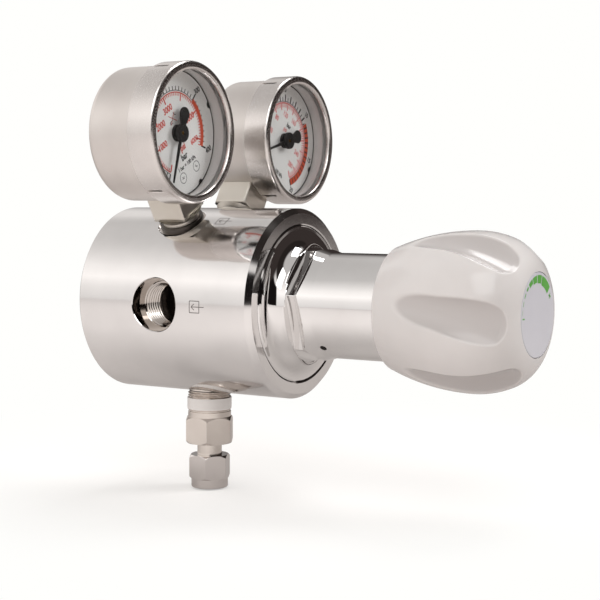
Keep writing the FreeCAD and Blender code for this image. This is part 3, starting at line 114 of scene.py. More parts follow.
def arc(centre, radius, start, end, rows=8):
    # round run of a profile from angle start to angle end in degrees; hollow if it runs backwards
    a = np.radians(np.linspace(start, end, rows + 1))
    n = np.stack([np.cos(a), np.sin(a)], -1)
    return np.array(centre, float) + radius * n, n * (1 if end > start else -1)


def profile(corners, closed=False, rows=7):
    # runs through the corners (r, z) or (r, z, rounding), each rounding an arc that touches both
    # neighbours; corners go anticlockwise, so that normals point out of the material
    pts = [np.array(c[:2], float) for c in corners]
    rounds = [c[2] if len(c) > 2 else 0.0 for c in corners]
    count = len(pts)
    starts, ends, arcs = [], [], []
    for i, p in enumerate(pts):
        if rounds[i] == 0:
            starts.append(p)
            ends.append(p)
            arcs.append(None)
            continue
        back, on = pts[i - 1] - p, pts[(i + 1) % count] - p
        back, on = back / np.linalg.norm(back), on / np.linalg.norm(on)
        half = math.acos(max(-1, min(1, float(back @ on)))) / 2
        reach = rounds[i] / math.tan(half)
        middle = (back + on) / np.linalg.norm(back + on)
        centre = p + middle * rounds[i] / math.sin(half)
        a, b = p + back * reach, p + on * reach
        a0 = math.degrees(math.atan2(*(a - centre)[::-1]))
        a1 = math.degrees(math.atan2(*(b - centre)[::-1]))
        turn = (a1 - a0 + 180) % 360 - 180
        starts.append(a)
        ends.append(b)
        arcs.append(arc(centre, rounds[i], a0, a0 + turn, rows))
    runs = []
    for i in range(count if closed else count - 1):
        if arcs[i] is not None and (closed or i > 0):
            runs.append(arcs[i])
        nextOne = (i + 1) % count
        if np.linalg.norm(starts[nextOne] - ends[i]) > 1e-9:
            runs.append(line(ends[i], starts[nextOne]))
    return runs


def lathe(runs, sides=128, angles=None):
    # the profile carried round the z axis: (-r sin a, r cos a, z)
    a = np.linspace(0, turnFull, sides + 1) if angles is None else angles
    out = []
    for p, n in runs:
        r, z = p[:, :1], p[:, 1:]
        out.append(patchOf(polar(r, a[None, :], z), polar(n[:, :1], a[None, :], n[:, 1:])))
    return out


def flatPatch(points, normal):
    points = np.asarray(points, float)
    return patchOf(points, np.broadcast_to(np.array(normal, float), points.shape))


def buildMesh(name, patches, place, material, body="root", replaces=()):
    # joins patches: points that coincide become one, and squares that lose a side triangles
    points = np.concatenate([p.reshape(-1, 3) for p, n in patches])
    normals = np.concatenate([n.reshape(-1, 3) for p, n in patches])
    quads, base = [], 0
    for p, n in patches:
        rows, cols = p.shape[:2]
        index = base + np.arange(rows * cols).reshape(rows, cols)
        q = np.stack([index[:-1, :-1], index[1:, :-1], index[1:, 1:], index[:-1, 1:]], -1).reshape(-1, 4)
        a, b, c, d = (points[q[:, k]] for k in range(4))
        facing = np.einsum("ij,ij->i", np.cross(c - a, d - b), normals[q].sum(1)).sum()
        quads.append(q if facing > 0 else q[:, ::-1])
        base += rows * cols
    quads = np.concatenate(quads)
    keys = np.round(points * 2e3).astype(np.int64)        # points within half a micrometre are one
    unique, first, merged = np.unique(keys, axis=0, return_index=True, return_inverse=True)
    merged = merged.reshape(-1)
    corner = merged[quads]
    same = corner == np.roll(corner, -1, axis=1)
    whole = ~same.any(1)
    squares, squareLoops = corner[whole], quads[whole]
    thin = same.sum(1) == 1
    keep = ~same[thin]
    triangles, triangleLoops = corner[thin][keep].reshape(-1, 3), quads[thin][keep].reshape(-1, 3)
    turned = place(points)
    origin = place(np.zeros(3))
    mesh = bpy.data.meshes.new(name)
    mesh.from_pydata(turned[first].tolist(), [], squares.tolist() + triangles.tolist())
    loops = np.concatenate([squareLoops.reshape(-1), triangleLoops.reshape(-1)])
    way = place(normals) - origin
    way /= np.maximum(np.linalg.norm(way, axis=-1, keepdims=True), 1e-12)
    mesh.shade_smooth()
    mesh.normals_split_custom_set(way[loops].tolist())
    return addPiece(name, mesh, material, body, replaces)


def addPiece(name, mesh, material, body="root", replaces=()):
    # a finished mesh becomes an object at the origin that rides on its body
    piece = bpy.data.objects.new(name, mesh)
    scene.collection.objects.link(piece)
    mesh.materials.clear()
    mesh.materials.append(material)
    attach(piece, body)
    if replaces:
        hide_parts(*replaces)
    return piece


def colour(hexText):
    # sRGB hex to the linear values that shaders take
    parts = [int(hexText[i:i + 2], 16) / 255 for i in (1, 3, 5)]
    return [p / 12.92 if p <= 0.04045 else ((p + 0.055) / 1.055) ** 2.4 for p in parts] + [1.0]


def addNode(tree, kind, settings=(), **links):
    # one node with its settings: a value goes to the input of that name or number, stops go to a
    # colour ramp; a link is written input=(node, output), or i0=(node, output) for input number 0
    node = tree.nodes.new(kind)
    for key, value in dict(settings).items():
        if key == "stops":
            elements = node.color_ramp.elements
            while len(elements) < len(value):
                elements.new(0.5)
            for element, (place, tint) in zip(elements, value):
                element.position, element.color = place, tint
        elif isinstance(key, int) or key in node.inputs:
            node.inputs[key].default_value = value
        else:
            setattr(node, key, value)
    for key, (source, output) in links.items():
        name = key.replace("_", " ")
        socket = node.inputs[int(key[1:])] if key[0] == "i" and key[1:].isdigit() else node.inputs[name]
        tree.links.new(source.outputs[output], socket)
    return node


def newMaterial(name, settings):
    # a material with its own tree, its main shader set, and its coordinates
    material = bpy.data.materials.new(name)
    material.use_nodes = True
    tree = material.node_tree
    shader = tree.nodes["Principled BSDF"]
    for key, value in settings.items():
        shader.inputs[key].default_value = value
    return material, tree, shader, addNode(tree, "ShaderNodeTexCoord")


def metalFinish(name, tint, darker, roughness, spread, grain, stretch=(1, 1, 1), bump=0.0):
    # a metal with a slow colour variation, a roughness that wanders by spread, and a bump whose
    # grain, in millimetres, may be stretched into brush marks along one axis
    material, tree, shader, coords = newMaterial(name, {"Metallic": 1.0})
    slow = addNode(tree, "ShaderNodeTexNoise", {"Scale": 60.0, "Detail": 3.0}, Vector=(coords, "Object"))
    tone = addNode(tree, "ShaderNodeValToRGB", {"stops": [(0.3, colour(darker)), (0.7, colour(tint))]},
                   Fac=(slow, "Fac"))
    tree.links.new(tone.outputs["Color"], shader.inputs["Base Color"])
    mapping = addNode(tree, "ShaderNodeMapping", {"Scale": stretch}, Vector=(coords, "Object"))
    fine = addNode(tree, "ShaderNodeTexNoise", {"Scale": 1000.0 / grain, "Detail": 4.0, "Roughness": 0.6},
                   Vector=(mapping, "Vector"))
    rough = addNode(tree, "ShaderNodeMapRange", {"From Min": 0.25, "From Max": 0.75,
                                                 "To Min": max(0.0, roughness - spread),
                                                 "To Max": roughness + spread}, Value=(fine, "Fac"))
    tree.links.new(rough.outputs["Result"], shader.inputs["Roughness"])
    if bump:
        lift = addNode(tree, "ShaderNodeBump", {"Strength": bump, "Distance": grain * 0.0001},
                       Height=(fine, "Fac"))
        tree.links.new(lift.outputs["Normal"], shader.inputs["Normal"])
    return material


def mouldedFinish(name, tint, darker, roughness, grain, bump, extra=(), paintedShade=None):
    # a moulded or sprayed surface: faint mottling, and a skin of small dents grain mm apart; where
    # the mesh has hollows it may turn to a second, darker tint, painted shade for the light they don't get
    material, tree, shader, coords = newMaterial(name, dict(extra))
    slow = addNode(tree, "ShaderNodeTexNoise", {"Scale": 45.0, "Detail": 4.0}, Vector=(coords, "Object"))
    tone = addNode(tree, "ShaderNodeValToRGB", {"stops": [(0.35, colour(darker)), (0.65, colour(tint))]},
                   Fac=(slow, "Fac"))
    tree.links.new(tone.outputs["Color"], shader.inputs["Base Color"])
    if paintedShade:
        # painted shade: the deeper a point lies in a hollow, the more it takes the darker tint
        depth = addNode(tree, "ShaderNodeAttribute", {"attribute_name": "hollow"})
        shaded = addNode(tree, "ShaderNodeMix", {"data_type": "RGBA", 7: colour(paintedShade)},
                         i0=(depth, "Fac"), i6=(tone, "Color"))
        tree.links.new(shaded.outputs[2], shader.inputs["Base Color"])
    fine = addNode(tree, "ShaderNodeTexNoise", {"Scale": 1000.0 / grain, "Detail": 3.0},
                   Vector=(coords, "Object"))
    rough = addNode(tree, "ShaderNodeMapRange", {"To Min": roughness * 0.85, "To Max": roughness * 1.15},
                    Value=(fine, "Fac"))
    tree.links.new(rough.outputs["Result"], shader.inputs["Roughness"])
    lift = addNode(tree, "ShaderNodeBump", {"Strength": bump, "Distance": grain * 0.0002},
                   Height=(fine, "Fac"))
    tree.links.new(lift.outputs["Normal"], shader.inputs["Normal"])
    return material


# chromium plate over brass, polished: cool and mirror-like; the long barrel's plate lies over a
# finer grind, which softens what it mirrors, and the thread's plate is thin and greyer
chromeBarrel = metalFinish("chromedBrassSoft", "#e9e7e6", "#e2e0df", 0.10, 0.02, 0.5)
chromeBonnet = metalFinish("chromedBrassBright", "#ecebea", "#e6e4e3", 0.03, 0.01, 0.5)
chromePort = metalFinish("chromedBrassThread", "#cdc7c2", "#bdb6b0", 0.07, 0.02, 0.3)
# painted shade for the deep bores and the vent's mouth: dark tints that stand in for the shade
# inside a drilled hole, so a bore reads as deep
portShade = metalFinish("paintedShadeBrass", "#4b443f", "#3a3430", 0.3, 0.06, 0.3)
paintedHoleShade = metalFinish("shadedBore", "#2b2725", "#1f1c1a", 0.5, 0.08, 0.2)
# plate burnt matt by a laser: thin grey lines that don't mirror
engraving = metalFinish("laserEngravedPlate", "#7d7876", "#6d6866", 0.5, 0.1, 0.2)
# stainless sheet, drawn and brushed round: warm grey with blurred reflections; the bezel is polished
gaugeSteel = metalFinish("brushedStainlessCase", "#dcd7d3", "#d3cdc9", 0.42, 0.05, 0.25, (1, 12, 1), 0.05)
bezelSteel = metalFinish("polishedStainlessBezel", "#e0dbd8", "#d5d0cd", 0.26, 0.03, 0.3)
# pale lacquer and pale silicone inside the gauge: they keep the rim behind the glass light
innerLacquer = mouldedFinish("lacqueredCaseWall", "#d8d3d1", "#cfcac8", 0.3, 0.4, 0.03)
gasketSilicone = mouldedFinish("paleSilicone", "#c9c4c2", "#c2bdbb", 0.45, 0.3, 0.05)
# nickel over milled brass bar: yellowish, duller than the chromium, with cutter marks
socketNickel = metalFinish("nickelPlatedBrass", "#dcd7ce", "#d0cac0", 0.4, 0.06, 0.2, (1, 1, 8), 0.06)
# stainless bar: turned and milled on the valve, burnished on the nut, which shines more
valveSteel = metalFinish("turnedStainless", "#e4ddd6", "#d3cbc4", 0.22, 0.07, 0.2, (1, 1, 8), 0.1)
nutSteel = metalFinish("burnishedStainless", "#e6e1de", "#d9d4d1", 0.09, 0.03, 0.3)
# inner parts: cold drawn wire, bluish zinc plate, darkened washers, yellow brass, brown bronze tube,
# and a filter of sintered grains, which is matt and pitted; its dark tint is partly the grains' own
# and partly painted shade deep in the inlet bore
springSteel = metalFinish("springSteelWire", "#9a9c9e", "#8c8e90", 0.3, 0.05, 0.2)
zincSteel = metalFinish("zincPlatedSteel", "#c8cbd0", "#babec4", 0.3, 0.06, 0.2)
washerSteel = metalFinish("zincPlatedWasher", "#5e5955", "#47423f", 0.35, 0.08, 0.3)
plainBrass = metalFinish("turnedBrass", "#d8b56a", "#caa559", 0.25, 0.06, 0.2, (1, 1, 8), 0.06)
tubeBronze = metalFinish("drawnBronze", "#b98a55", "#a87a48", 0.3, 0.06, 0.3)
sintered = metalFinish("sinteredSteel", "#4a4542", "#383432", 0.6, 0.1, 0.15, (1, 1, 1), 0.6)
# thermoplastic moulded in a polished tool: off-white, glossy, with a little light inside it; the
# flutes turn greyer, painted shade
knobPlastic = mouldedFinish("mouldedOffWhitePlastic", "#dad6d4", "#d5d1cf", 0.17, 0.6, 0.05,
                            {"Subsurface Weight": 0.04, "Subsurface Radius": [0.004, 0.003, 0.0025],
                             "Subsurface Scale": 1.0}, paintedShade="#c0bbb9")
# printed film: cool grey on the knob, white round the relief valve, both with a satin skin
badgeFilm = mouldedFinish("badgeFilm", "#cdccd2", "#c8c7ce", 0.25, 0.5, 0.03)
labelFilm = mouldedFinish("labelFilm", "#f2efec", "#ece8e5", 0.4, 0.4, 0.04)
# enamelled aluminium and screen-printed inks: even and matt, so the figures stay readable
dialEnamel = mouldedFinish("printedDialEnamel", "#f1eeec", "#edeae8", 0.45, 0.4, 0.03)
badgeGreen = mouldedFinish("greenPrintInk", "#57a83c", "#4f9f36", 0.35, 0.4, 0.05)
inkBlack = mouldedFinish("blackPrintInk", "#2a2829", "#222021", 0.5, 0.3, 0.05)
inkRed = mouldedFinish("redPrintInk", "#d8564a", "#cf4c41", 0.5, 0.3, 0.05)
inkBand = mouldedFinish("redBandInk", "#dc5a3c", "#d35033", 0.5, 0.3, 0.05)
inkPink = mouldedFinish("palePrintInk", "#e58a88", "#dd7f7d", 0.5, 0.3, 0.05)
# stove paint, rubber and turned fluoropolymer: matt black, soft black, waxy white
pointerPaint = mouldedFinish("mattBlackPaint", "#1f1e1e", "#191818", 0.5, 0.2, 0.1)
sealRubber = mouldedFinish("blackRubber", "#1d1c1b", "#161514", 0.6, 0.3, 0.2)
seatPlastic = mouldedFinish("machinedFluoropolymer", "#e0dccf", "#d8d3c5", 0.4, 0.3, 0.05)


def glassFinish():
    # clear thin instrument glass: light goes straight through, and the share that is mirrored grows
    # with the fifth power of the slant, so the rim of the pane shines and its middle stays clear
    material, tree, shader, coords = newMaterial("instrumentGlass", {})
    tree.nodes.remove(shader)
    grain = addNode(tree, "ShaderNodeTexNoise", {"Scale": 300.0}, Vector=(coords, "Object"))
    rough = addNode(tree, "ShaderNodeMapRange", {"To Min": 0.0, "To Max": 0.03}, Value=(grain, "Fac"))
    through = addNode(tree, "ShaderNodeBsdfTransparent", {"Color": colour("#fafbfb")})
    mirror = addNode(tree, "ShaderNodeBsdfGlossy", {"Color": colour("#ffffff")}, Roughness=(rough, "Result"))
    slant = addNode(tree, "ShaderNodeLayerWeight", {"Blend": 0.5})
    fifth = addNode(tree, "ShaderNodeMath", {"operation": "POWER", 1: 5.0}, i0=(slant, "Facing"))
    mirrored = addNode(tree, "ShaderNodeMath", {"operation": "MULTIPLY_ADD", 1: 0.9, 2: 0.02},
                       i0=(fifth, "Value"))
    pane = addNode(tree, "ShaderNodeMixShader", {}, i0=(mirrored, "Value"), i1=(through, "BSDF"),
                   i2=(mirror, "BSDF"))
    tree.links.new(pane.outputs["Shader"], tree.nodes["Material Output"].inputs["Surface"])
    return material


windowGlass = glassFinish()
print("materials made")


# The barrel: its wall is a round strip, with a square cell left open for each port. A port has its
# angle, its mouth's radius, and its steps (radius, height from the main axis) from there inwards.
barrel = {"radius": 35.0, "length": 76.8, "bevel": 1.85, "rearBevel": 1.0, "recess": 28.95,
          "rimBevel": 0.4, "recessFloor": 56.9, "chamber": 22.05, "chamberFloor": 50.95,
          "valveBore": 9.05, "valveFloor": 41.25, "supplyBore": 7.05, "supplyFloor": 13.95,
          "cellAngle": 20.0, "cellHalf": 12.25, "cellSteps": 24, "chordSteps": 40,
          "edgeBreak": 0.25, "holeSpacing": 40.0, "holeRadius": 2.1, "holeDepth": 10.0}
barrelPorts = {
    "inlet": (90.0, 9.75, [(9.75, 29.0), (8.6, 29.0), (8.3, 28.7), "thread", (7.48, 15.0), (5.6, 15.0),
                           (5.6, 8.0), (0.0, 8.0)]),
    "outlet": (270.0, 9.75, [(9.75, 29.0), (8.6, 29.0), (8.3, 28.7), "thread", (7.48, 15.0), (0.0, 15.0)]),
    "highGauge": (30.0, 9.0, [(9.0, 34.1), (5.7, 34.1), (5.7, 22.0), (0.0, 22.0)]),
    "lowGauge": (330.0, 9.0, [(9.0, 34.1), (5.7, 34.1), (5.7, 22.0), (0.0, 22.0)]),
    "relief": (180.0, 8.3, [(0.0, 23.0)]),
}
portThread = {"pitch": 1.337, "crest": 7.48, "root": 8.3, "from": 28.7, "to": 20.4, "turnSteps": 10}


def loopRound(half, steps):
    # the corners and sides of a square of that half width, once round, as (across, along)
    t = np.linspace(-1, 1, steps + 1)[:-1]
    one = np.ones(steps)
    return (np.concatenate([t, one, -t, -one, [-1.0]]) * half,
            np.concatenate([-one, t, one, -t, [-1.0]]) * half)


def portCell(angle, mouth, steps):
    # the barrel's wall between a square cell and a round port, then the port's own steps. Rows run
    # from the port's edge out to the cell, and each point slides on the barrel's round. Gives the
    # wall, the bore down to the end of the thread, and the depths beyond it.
    s = barrel
    across, along = loopRound(1.0, s["cellSteps"])
    across = s["radius"] * np.sin(across * math.radians(s["cellAngle"]))
    along = along * s["cellHalf"]
    turn = np.arctan2(along, across)
    outer = mouth + s["edgeBreak"]
    centre = math.radians(angle)
    share = np.linspace(0, 1, 9)[:, None] ** 1.3
    x = outer * np.cos(turn) * (1 - share) + across * share
    z = outer * np.sin(turn) * (1 - share) + along * share
    a = centre - np.arcsin(x / s["radius"])
    wall = [patchOf(polar(s["radius"], a, z + stations["portLevel"]), polar(1.0, a, 0.0))]
    cosine, sine = math.cos(centre), math.sin(centre)

    def lean(w, v, h):
        # from the port's own directions: w across the main axis, v along it, h outwards
        return np.stack([cosine * w - sine * h, sine * w + cosine * h, v + 0 * w], -1)

    def ringOf(r, h):
        # one ring of the port, of radius r at height h
        return lean(r * np.cos(turn), r * np.sin(turn), h + 0 * turn) + [0, 0, stations["portLevel"]]
    radial = lean(np.cos(turn), np.sin(turn), 0 * turn)
    outward = lean(0 * turn, 0 * turn, 1 + 0 * turn)
    slope = (outward - radial) / math.sqrt(2)
    top = np.sqrt(s["radius"] ** 2 - (outer * np.cos(turn)) ** 2)
    low = np.sqrt(s["radius"] ** 2 - (mouth * np.cos(turn)) ** 2) - s["edgeBreak"]
    previous = ringOf(mouth, low)
    wall.append(patchOf([ringOf(outer, top), previous], [slope, slope]))
    before = (mouth, None)
    bore, deep = [], []
    patches = bore
    for step in steps:
        if step == "thread":
            bore.append(threadRows(turn, ringOf, radial))
            before = (portThread["crest"], portThread["to"])
            previous = ringOf(*before)
            patches = deep
            continue
        here = ringOf(*step)
        if before[1] is None or step[0] == before[0]:
            n = -radial
        else:
            n = outward if step[1] == before[1] else slope
        if np.abs(here - previous).max() > 1e-6:
            patches.append(patchOf([previous, here], [n, n]))
        before, previous = step, here
    return wall, bore, deep


def threadRows(turn, ringOf, radial):
    # internal thread: the wall's radius swings between crest and root once each pitch, and the
    # pattern climbs one pitch each turn
    s = portThread
    top, low, pitch = s["from"], s["to"], s["pitch"]
    rows = int((top - low) / pitch * s["turnSteps"])
    h = np.linspace(top, low, rows + 1)[:, None]
    phase = (h / pitch + turn[None, :] / turnFull) % 1.0
    ridge = np.clip(np.abs(phase - 0.5) * 2.4 - 0.1, 0, 1)
    fade = np.clip((h - low) / pitch, 0, 1) * np.ones_like(ridge)
    r = s["crest"] + (s["root"] - s["crest"]) * ridge * fade
    r[0, :] = s["root"]
    points = np.stack([ringOf(r[i], h[i]) for i in range(rows + 1)])
    n = np.cross(np.gradient(points, axis=0), aroundRows(points))
    n /= np.linalg.norm(n, axis=-1, keepdims=True)
    sign = np.sign(np.einsum("ijk,jk->ij", n, -radial).sum())
    return patchOf(points, n * sign)


def aroundRows(points):
    # the direction in which each closed row of points runs: next point less the one before
    ring = np.roll(points[:, :-1], -1, 1) - np.roll(points[:, :-1], 1, 1)
    return np.concatenate([ring, ring[:, :1]], 1)


def halfFace(side):
    # half of the round rear face with one screw hole: rows run from the hole out to the edge,
    # every point on a straight line to it
    s = barrel
    radius = s["radius"] - s["rearBevel"]
    step = math.radians(s["cellAngle"] * 2 / s["cellSteps"])
    a = np.linspace(0, math.pi, int(round(math.pi / step)) + 1)
    chord = np.linspace(-radius, radius, s["chordSteps"] + 1)[1:]
    edgeX = np.concatenate([radius * np.sin(a), 0 * chord])
    edgeY = np.concatenate([radius * np.cos(a), chord])
    hole = s["holeSpacing"] / 2
    turn = np.arctan2(edgeY, edgeX - hole)
    r = s["holeRadius"]
    share = np.linspace(0, 1, 5)[:, None]
    x = (hole + r * np.cos(turn)) * (1 - share) + edgeX * share
    y = r * np.sin(turn) * (1 - share) + edgeY * share
    flat = np.stack([x * side, y, 0 * x], -1)
    out = [flatPatch(flat, (0, 0, -1))]
    ringAt = [np.stack([(hole + q * np.cos(turn)) * side, q * np.sin(turn), 0 * turn + z], -1)
              for q, z in ((r, 0.0), (r, s["holeDepth"]), (0.0, s["holeDepth"] + 1.0))]
    inward = np.stack([-np.cos(turn) * side, -np.sin(turn), 0 * turn], -1)
    out.append(patchOf(ringAt[:2], [inward, inward]))
    out.append(flatPatch(ringAt[1:], (0, 0, -1)))
    return out


def makeBarrel():
    # wall, front bevel and the stepped inside are lathe runs; between the ports' cells the wall goes
    # on as plain strips, and the rear face is two halves
    s = barrel
    radius, half, level = s["radius"], s["cellHalf"], stations["portLevel"]
    step = s["cellAngle"] * 2 / s["cellSteps"]
    full = np.linspace(0, turnFull, int(round(360 / step)) + 1)
    top, recessTop = s["length"] - s["bevel"], s["length"] - s["rimBevel"]
    patches = lathe([line((radius, s["rearBevel"]), (radius, level - half), 4),
                     line((radius, level + half), (radius, top), 4),
                     line((radius - s["rearBevel"], 0), (radius, s["rearBevel"]))], angles=full)
    patches += lathe(profile([(radius, top), (radius - s["bevel"], s["length"]),
                              (s["recess"] + s["rimBevel"], s["length"]), (s["recess"], recessTop),
                              (s["recess"], s["recessFloor"]), (s["chamber"], s["recessFloor"]),
                              (s["chamber"], s["chamberFloor"]), (s["valveBore"], s["chamberFloor"]),
                              (s["valveBore"], s["valveFloor"]), (s["supplyBore"], s["valveFloor"]),
                              (s["supplyBore"], s["supplyFloor"]), (0, s["supplyFloor"])]), angles=full)
    rows = np.linspace(level - half, level + half, s["cellSteps"] + 1)
    centres = sorted(port[0] for port in barrelPorts.values())
    for centre, following in zip(centres, centres[1:] + [centres[0] + 360]):
        start, end = centre + s["cellAngle"], following - s["cellAngle"]
        a = np.radians(np.linspace(start, end, int(round((end - start) / step)) + 1))
        z, a = np.meshgrid(rows, a, indexing="ij")
        patches.append(patchOf(polar(radius, a, z), polar(1.0, a, 0 * z)))
    bores, depths = [], []
    for port in barrelPorts.values():
        wall, bore, deep = portCell(*port)
        patches += wall
        bores += bore
        depths += deep
    for side in (-1, 1):
        patches += halfFace(side)
    buildMesh("barrel", patches, onAxis, chromeBarrel, replaces=["body"])
    buildMesh("portBores", bores, onAxis, chromePort)
    # the depths beyond the threads take the dark tint: painted shade
    buildMesh("portDepths", depths, onAxis, portShade)


makeBarrel()
print("barrel made")


bonnet = {"rim": 76.8, "flangeLow": 59.4, "flange": 28.65, "rimBevel": 0.4, "foot": 27.35,
          "flareTop": 83.3, "corner": 20.785, "hexTop": 86.9, "shoulderTop": 92.6, "neck": 19.08,
          "neckEnd": 145.0, "neckBevel": 1.0, "flats": 18.0, "flatStart": 82.7, "flatPhase": 47.5,
          "columns": 540, "hexFoot": 82.4, "flatsEnd": 90.4, "screwBore": 6.05, "nutFloor": 133.0,
          "springBore": 15.3, "coneStart": 70.1, "coneEnd": 64.4, "plateBore": 21.0,
          "vent": 1.25, "ventLevel": 93.8, "ventAngle": 138.6, "ventLift": 0.03}


def bonnetRadius(z):
    # the turned shape: flare (an arc that ends level with the hexagon), hexagon's corners,
    # taper, neck
    s = bonnet
    width, height = s["foot"] - s["corner"], s["flareTop"] - s["rim"]
    low = np.clip((z - s["rim"]) / height, 0, 1)
    flare = s["corner"] + width * (1 - np.sqrt(np.clip(1 - (1 - low) ** 2, 0, 1)))
    share = np.clip((z - s["hexTop"]) / (s["shoulderTop"] - s["hexTop"]), 0, 1)
    taper = s["corner"] + (s["neck"] - s["corner"]) * share
    return np.where(z < s["flareTop"], flare, taper)


def bonnetSurface(z, a):
    # the smaller of the turned radius and the distance to the nearest of six flats, which run
    # out of the metal at 45 degrees in front of the hexagon
    s = bonnet
    turn = (a - math.radians(90 + s["flatPhase"] - 30)) % (math.pi / 3)
    turn = np.minimum(turn, math.pi / 3 - turn)
    flat = s["flats"] + np.clip(s["flatStart"] - z, 0, None) * 6 + np.clip(z - s["hexTop"], 0, None)
    r = np.minimum(bonnetRadius(z), flat / np.cos(turn))
    return polar(r, a, z)


def makeBonnet():
    # the outside over levels that crowd where flare, hexagon and taper meet, then a lathe run down
    # the neck's end, up the spring's bore and round the flange ring
    s = bonnet
    a = np.linspace(0, turnFull, s["columns"] + 1)
    spread = (1 - np.cos(np.linspace(0, math.pi / 2, 14))) * (s["hexFoot"] - s["rim"]) + s["rim"]
    levels = np.unique(np.round(np.concatenate([
        spread, np.linspace(s["hexFoot"], s["flareTop"], 7), np.linspace(s["flareTop"], s["hexTop"], 5),
        np.linspace(s["hexTop"], s["flatsEnd"], 24), np.linspace(s["flatsEnd"], s["shoulderTop"], 4),
        [s["neckEnd"] - 20, s["neckEnd"] - s["neckBevel"]]]), 5))
    patches = [sheetPatch(bonnetSurface, levels, a, flip=True)]
    patches += lathe(profile([(s["neck"], s["neckEnd"] - s["neckBevel"]),
                              (s["neck"] - s["neckBevel"], s["neckEnd"]),
                              (s["screwBore"], s["neckEnd"]), (s["screwBore"], s["nutFloor"]),
                              (s["springBore"], s["nutFloor"]), (s["springBore"], s["coneStart"]),
                              (s["plateBore"], s["coneEnd"]), (s["plateBore"], s["flangeLow"]),
                              (s["flange"], s["flangeLow"]), (s["flange"], s["rim"] - s["rimBevel"]),
                              (s["flange"] - s["rimBevel"], s["rim"]), (s["foot"], s["rim"])]), angles=a)
    buildMesh("bonnetShell", patches, onAxis, chromeBonnet, replaces=["bonnet"])
    # the vent's mouth: a dark disc laid on the round of the neck, painted shade in place of the hole
    turn = np.linspace(0, turnFull, 41)
    share = np.linspace(1, 0, 4)[:, None]
    at = math.radians(s["ventAngle"]) + s["vent"] * share * np.cos(turn) / s["neck"]
    mouth = polar(s["neck"] + s["ventLift"], at, s["ventLevel"] + s["vent"] * share * np.sin(turn))
    buildMesh("bonnetVentShade", [patchOf(mouth, polar(1.0, at, 0 * at))], onAxis, paintedHoleShade)


makeBonnet()
print("bonnet made")


knob = {"level": 117.65, "length": 51.9, "radius": 27.9, "rear": 22.2, "mouth": 20.7, "belly": 30.0,
        "frontRound": 32.0, "shoulder": 24.0, "cavity": 37.0, "badge": 14.4, "sunk": 1.2, "lip": 1.0,
        "flutes": 6, "reach": 33.7, "tool": 8.7, "toolFront": 13.7, "toolEnd": 14.8, "bow": 0.9,
        "widening": 26.0, "widest": 47.2, "end": 54.0, "slant": 10.5, "phase": 2.0, "edge": 0.3,
        "columns": 576, "screwHead": 4.9, "headDepth": 3.0, "screwBore": 2.55, "hubFloor": 45.0,
        "hubBore": 7.5, "bossFloor": 35.4, "boss": 10.5, "badgeGap": 0.15, "shadeFrom": 0.05,
        "shadeOver": 0.8, "rayStart": 16.0, "rayEnd": 40.0, "raySteps": 96}


def knobProfile():
    # rear lip, long bowed flank, round shoulder and nose down to the badge's seat
    s = knob
    front = s["level"] + s["length"]
    belly = s["level"] + s["belly"]
    flank, rise = s["radius"] - s["rear"], s["belly"] - s["lip"]
    flankRound = (flank ** 2 + rise ** 2) / (2 * flank)
    tilt = math.radians(s["shoulder"])
    centre = s["radius"] - s["frontRound"]
    joinX, joinY = centre + s["frontRound"] * math.cos(tilt), belly + s["frontRound"] * math.sin(tilt)
    nose = (front - joinY) / (1 - math.sin(tilt))
    noseX, noseY = joinX - nose * math.cos(tilt), front - nose
    last = math.degrees(math.acos((s["badge"] + s["badgeGap"] - noseX) / nose))
    low = -math.degrees(math.asin(rise / flankRound))
    return [arc((s["radius"] - flankRound, belly), flankRound, low, 0, 60),
            arc((centre, belly), s["frontRound"], 0, s["shoulder"], 40),
            arc((noseX, noseY), nose, s["shoulder"], last, 44)]


def fluteRadius(a, z):
    # how far out the grip reaches before a ray at angle a, level z, meets the nearest flute: each
    # flute is a round scoop about an axis outside the grip, leaning round it. The ray is tried in
    # even steps, and the first step that ends inside a scoop is shared in proportion.
    s = knob
    middle = s["belly"] - s["lip"]
    slant = math.radians(s["slant"])
    pitch = turnFull / s["flutes"]
    step = (s["rayEnd"] - s["rayStart"]) / s["raySteps"]
    z = z - s["level"] - middle
    best = np.full(np.broadcast(a, z).shape, 99.0)
    first = math.radians(90 - s["phase"])
    nearest = np.round((a - first) / pitch)
    for side in (-1, 0, 1):
        d = a - first - (nearest + side) * pitch
        t = np.linspace(s["rayStart"], s["rayEnd"], s["raySteps"] + 1).reshape((-1,) + (1,) * best.ndim)
        x, y = t * np.cos(d), t * np.sin(d)
        along = y * math.sin(slant) + z * math.cos(slant)
        across = y * math.cos(slant) - z * math.sin(slant)
        gap = np.hypot(x - s["reach"], across) - toolRadius(along)
        inside = gap < 0
        hit = inside.argmax(0)
        found = inside.any(0)
        low = np.take_along_axis(gap, np.clip(hit - 1, 0, None)[None], 0)[0]
        high = np.take_along_axis(gap, hit[None], 0)[0]
        share = np.clip(low / np.maximum(low - high, 1e-9), 0, 1)
        r = s["rayStart"] + (hit - 1 + share) * step
        best = np.where(found, np.minimum(best, r), best)
    return best


def toolRadius(t):
    # the scoop's own radius along its axis: even, then on an arc that swells to the front, then
    # on a straight cone
    s = knob
    middle = s["belly"] - s["lip"]
    low, high = s["widening"] - middle, s["widest"] - middle
    share = np.clip((t - low) / (high - low), 0, 1)
    swell = s["tool"] + (s["toolFront"] - s["tool"]) * share - s["bow"] * 4 * share * (1 - share)
    slope = (s["toolEnd"] - s["toolFront"]) / (s["end"] - s["widest"])
    return swell + np.clip(t - high, 0, None) * slope


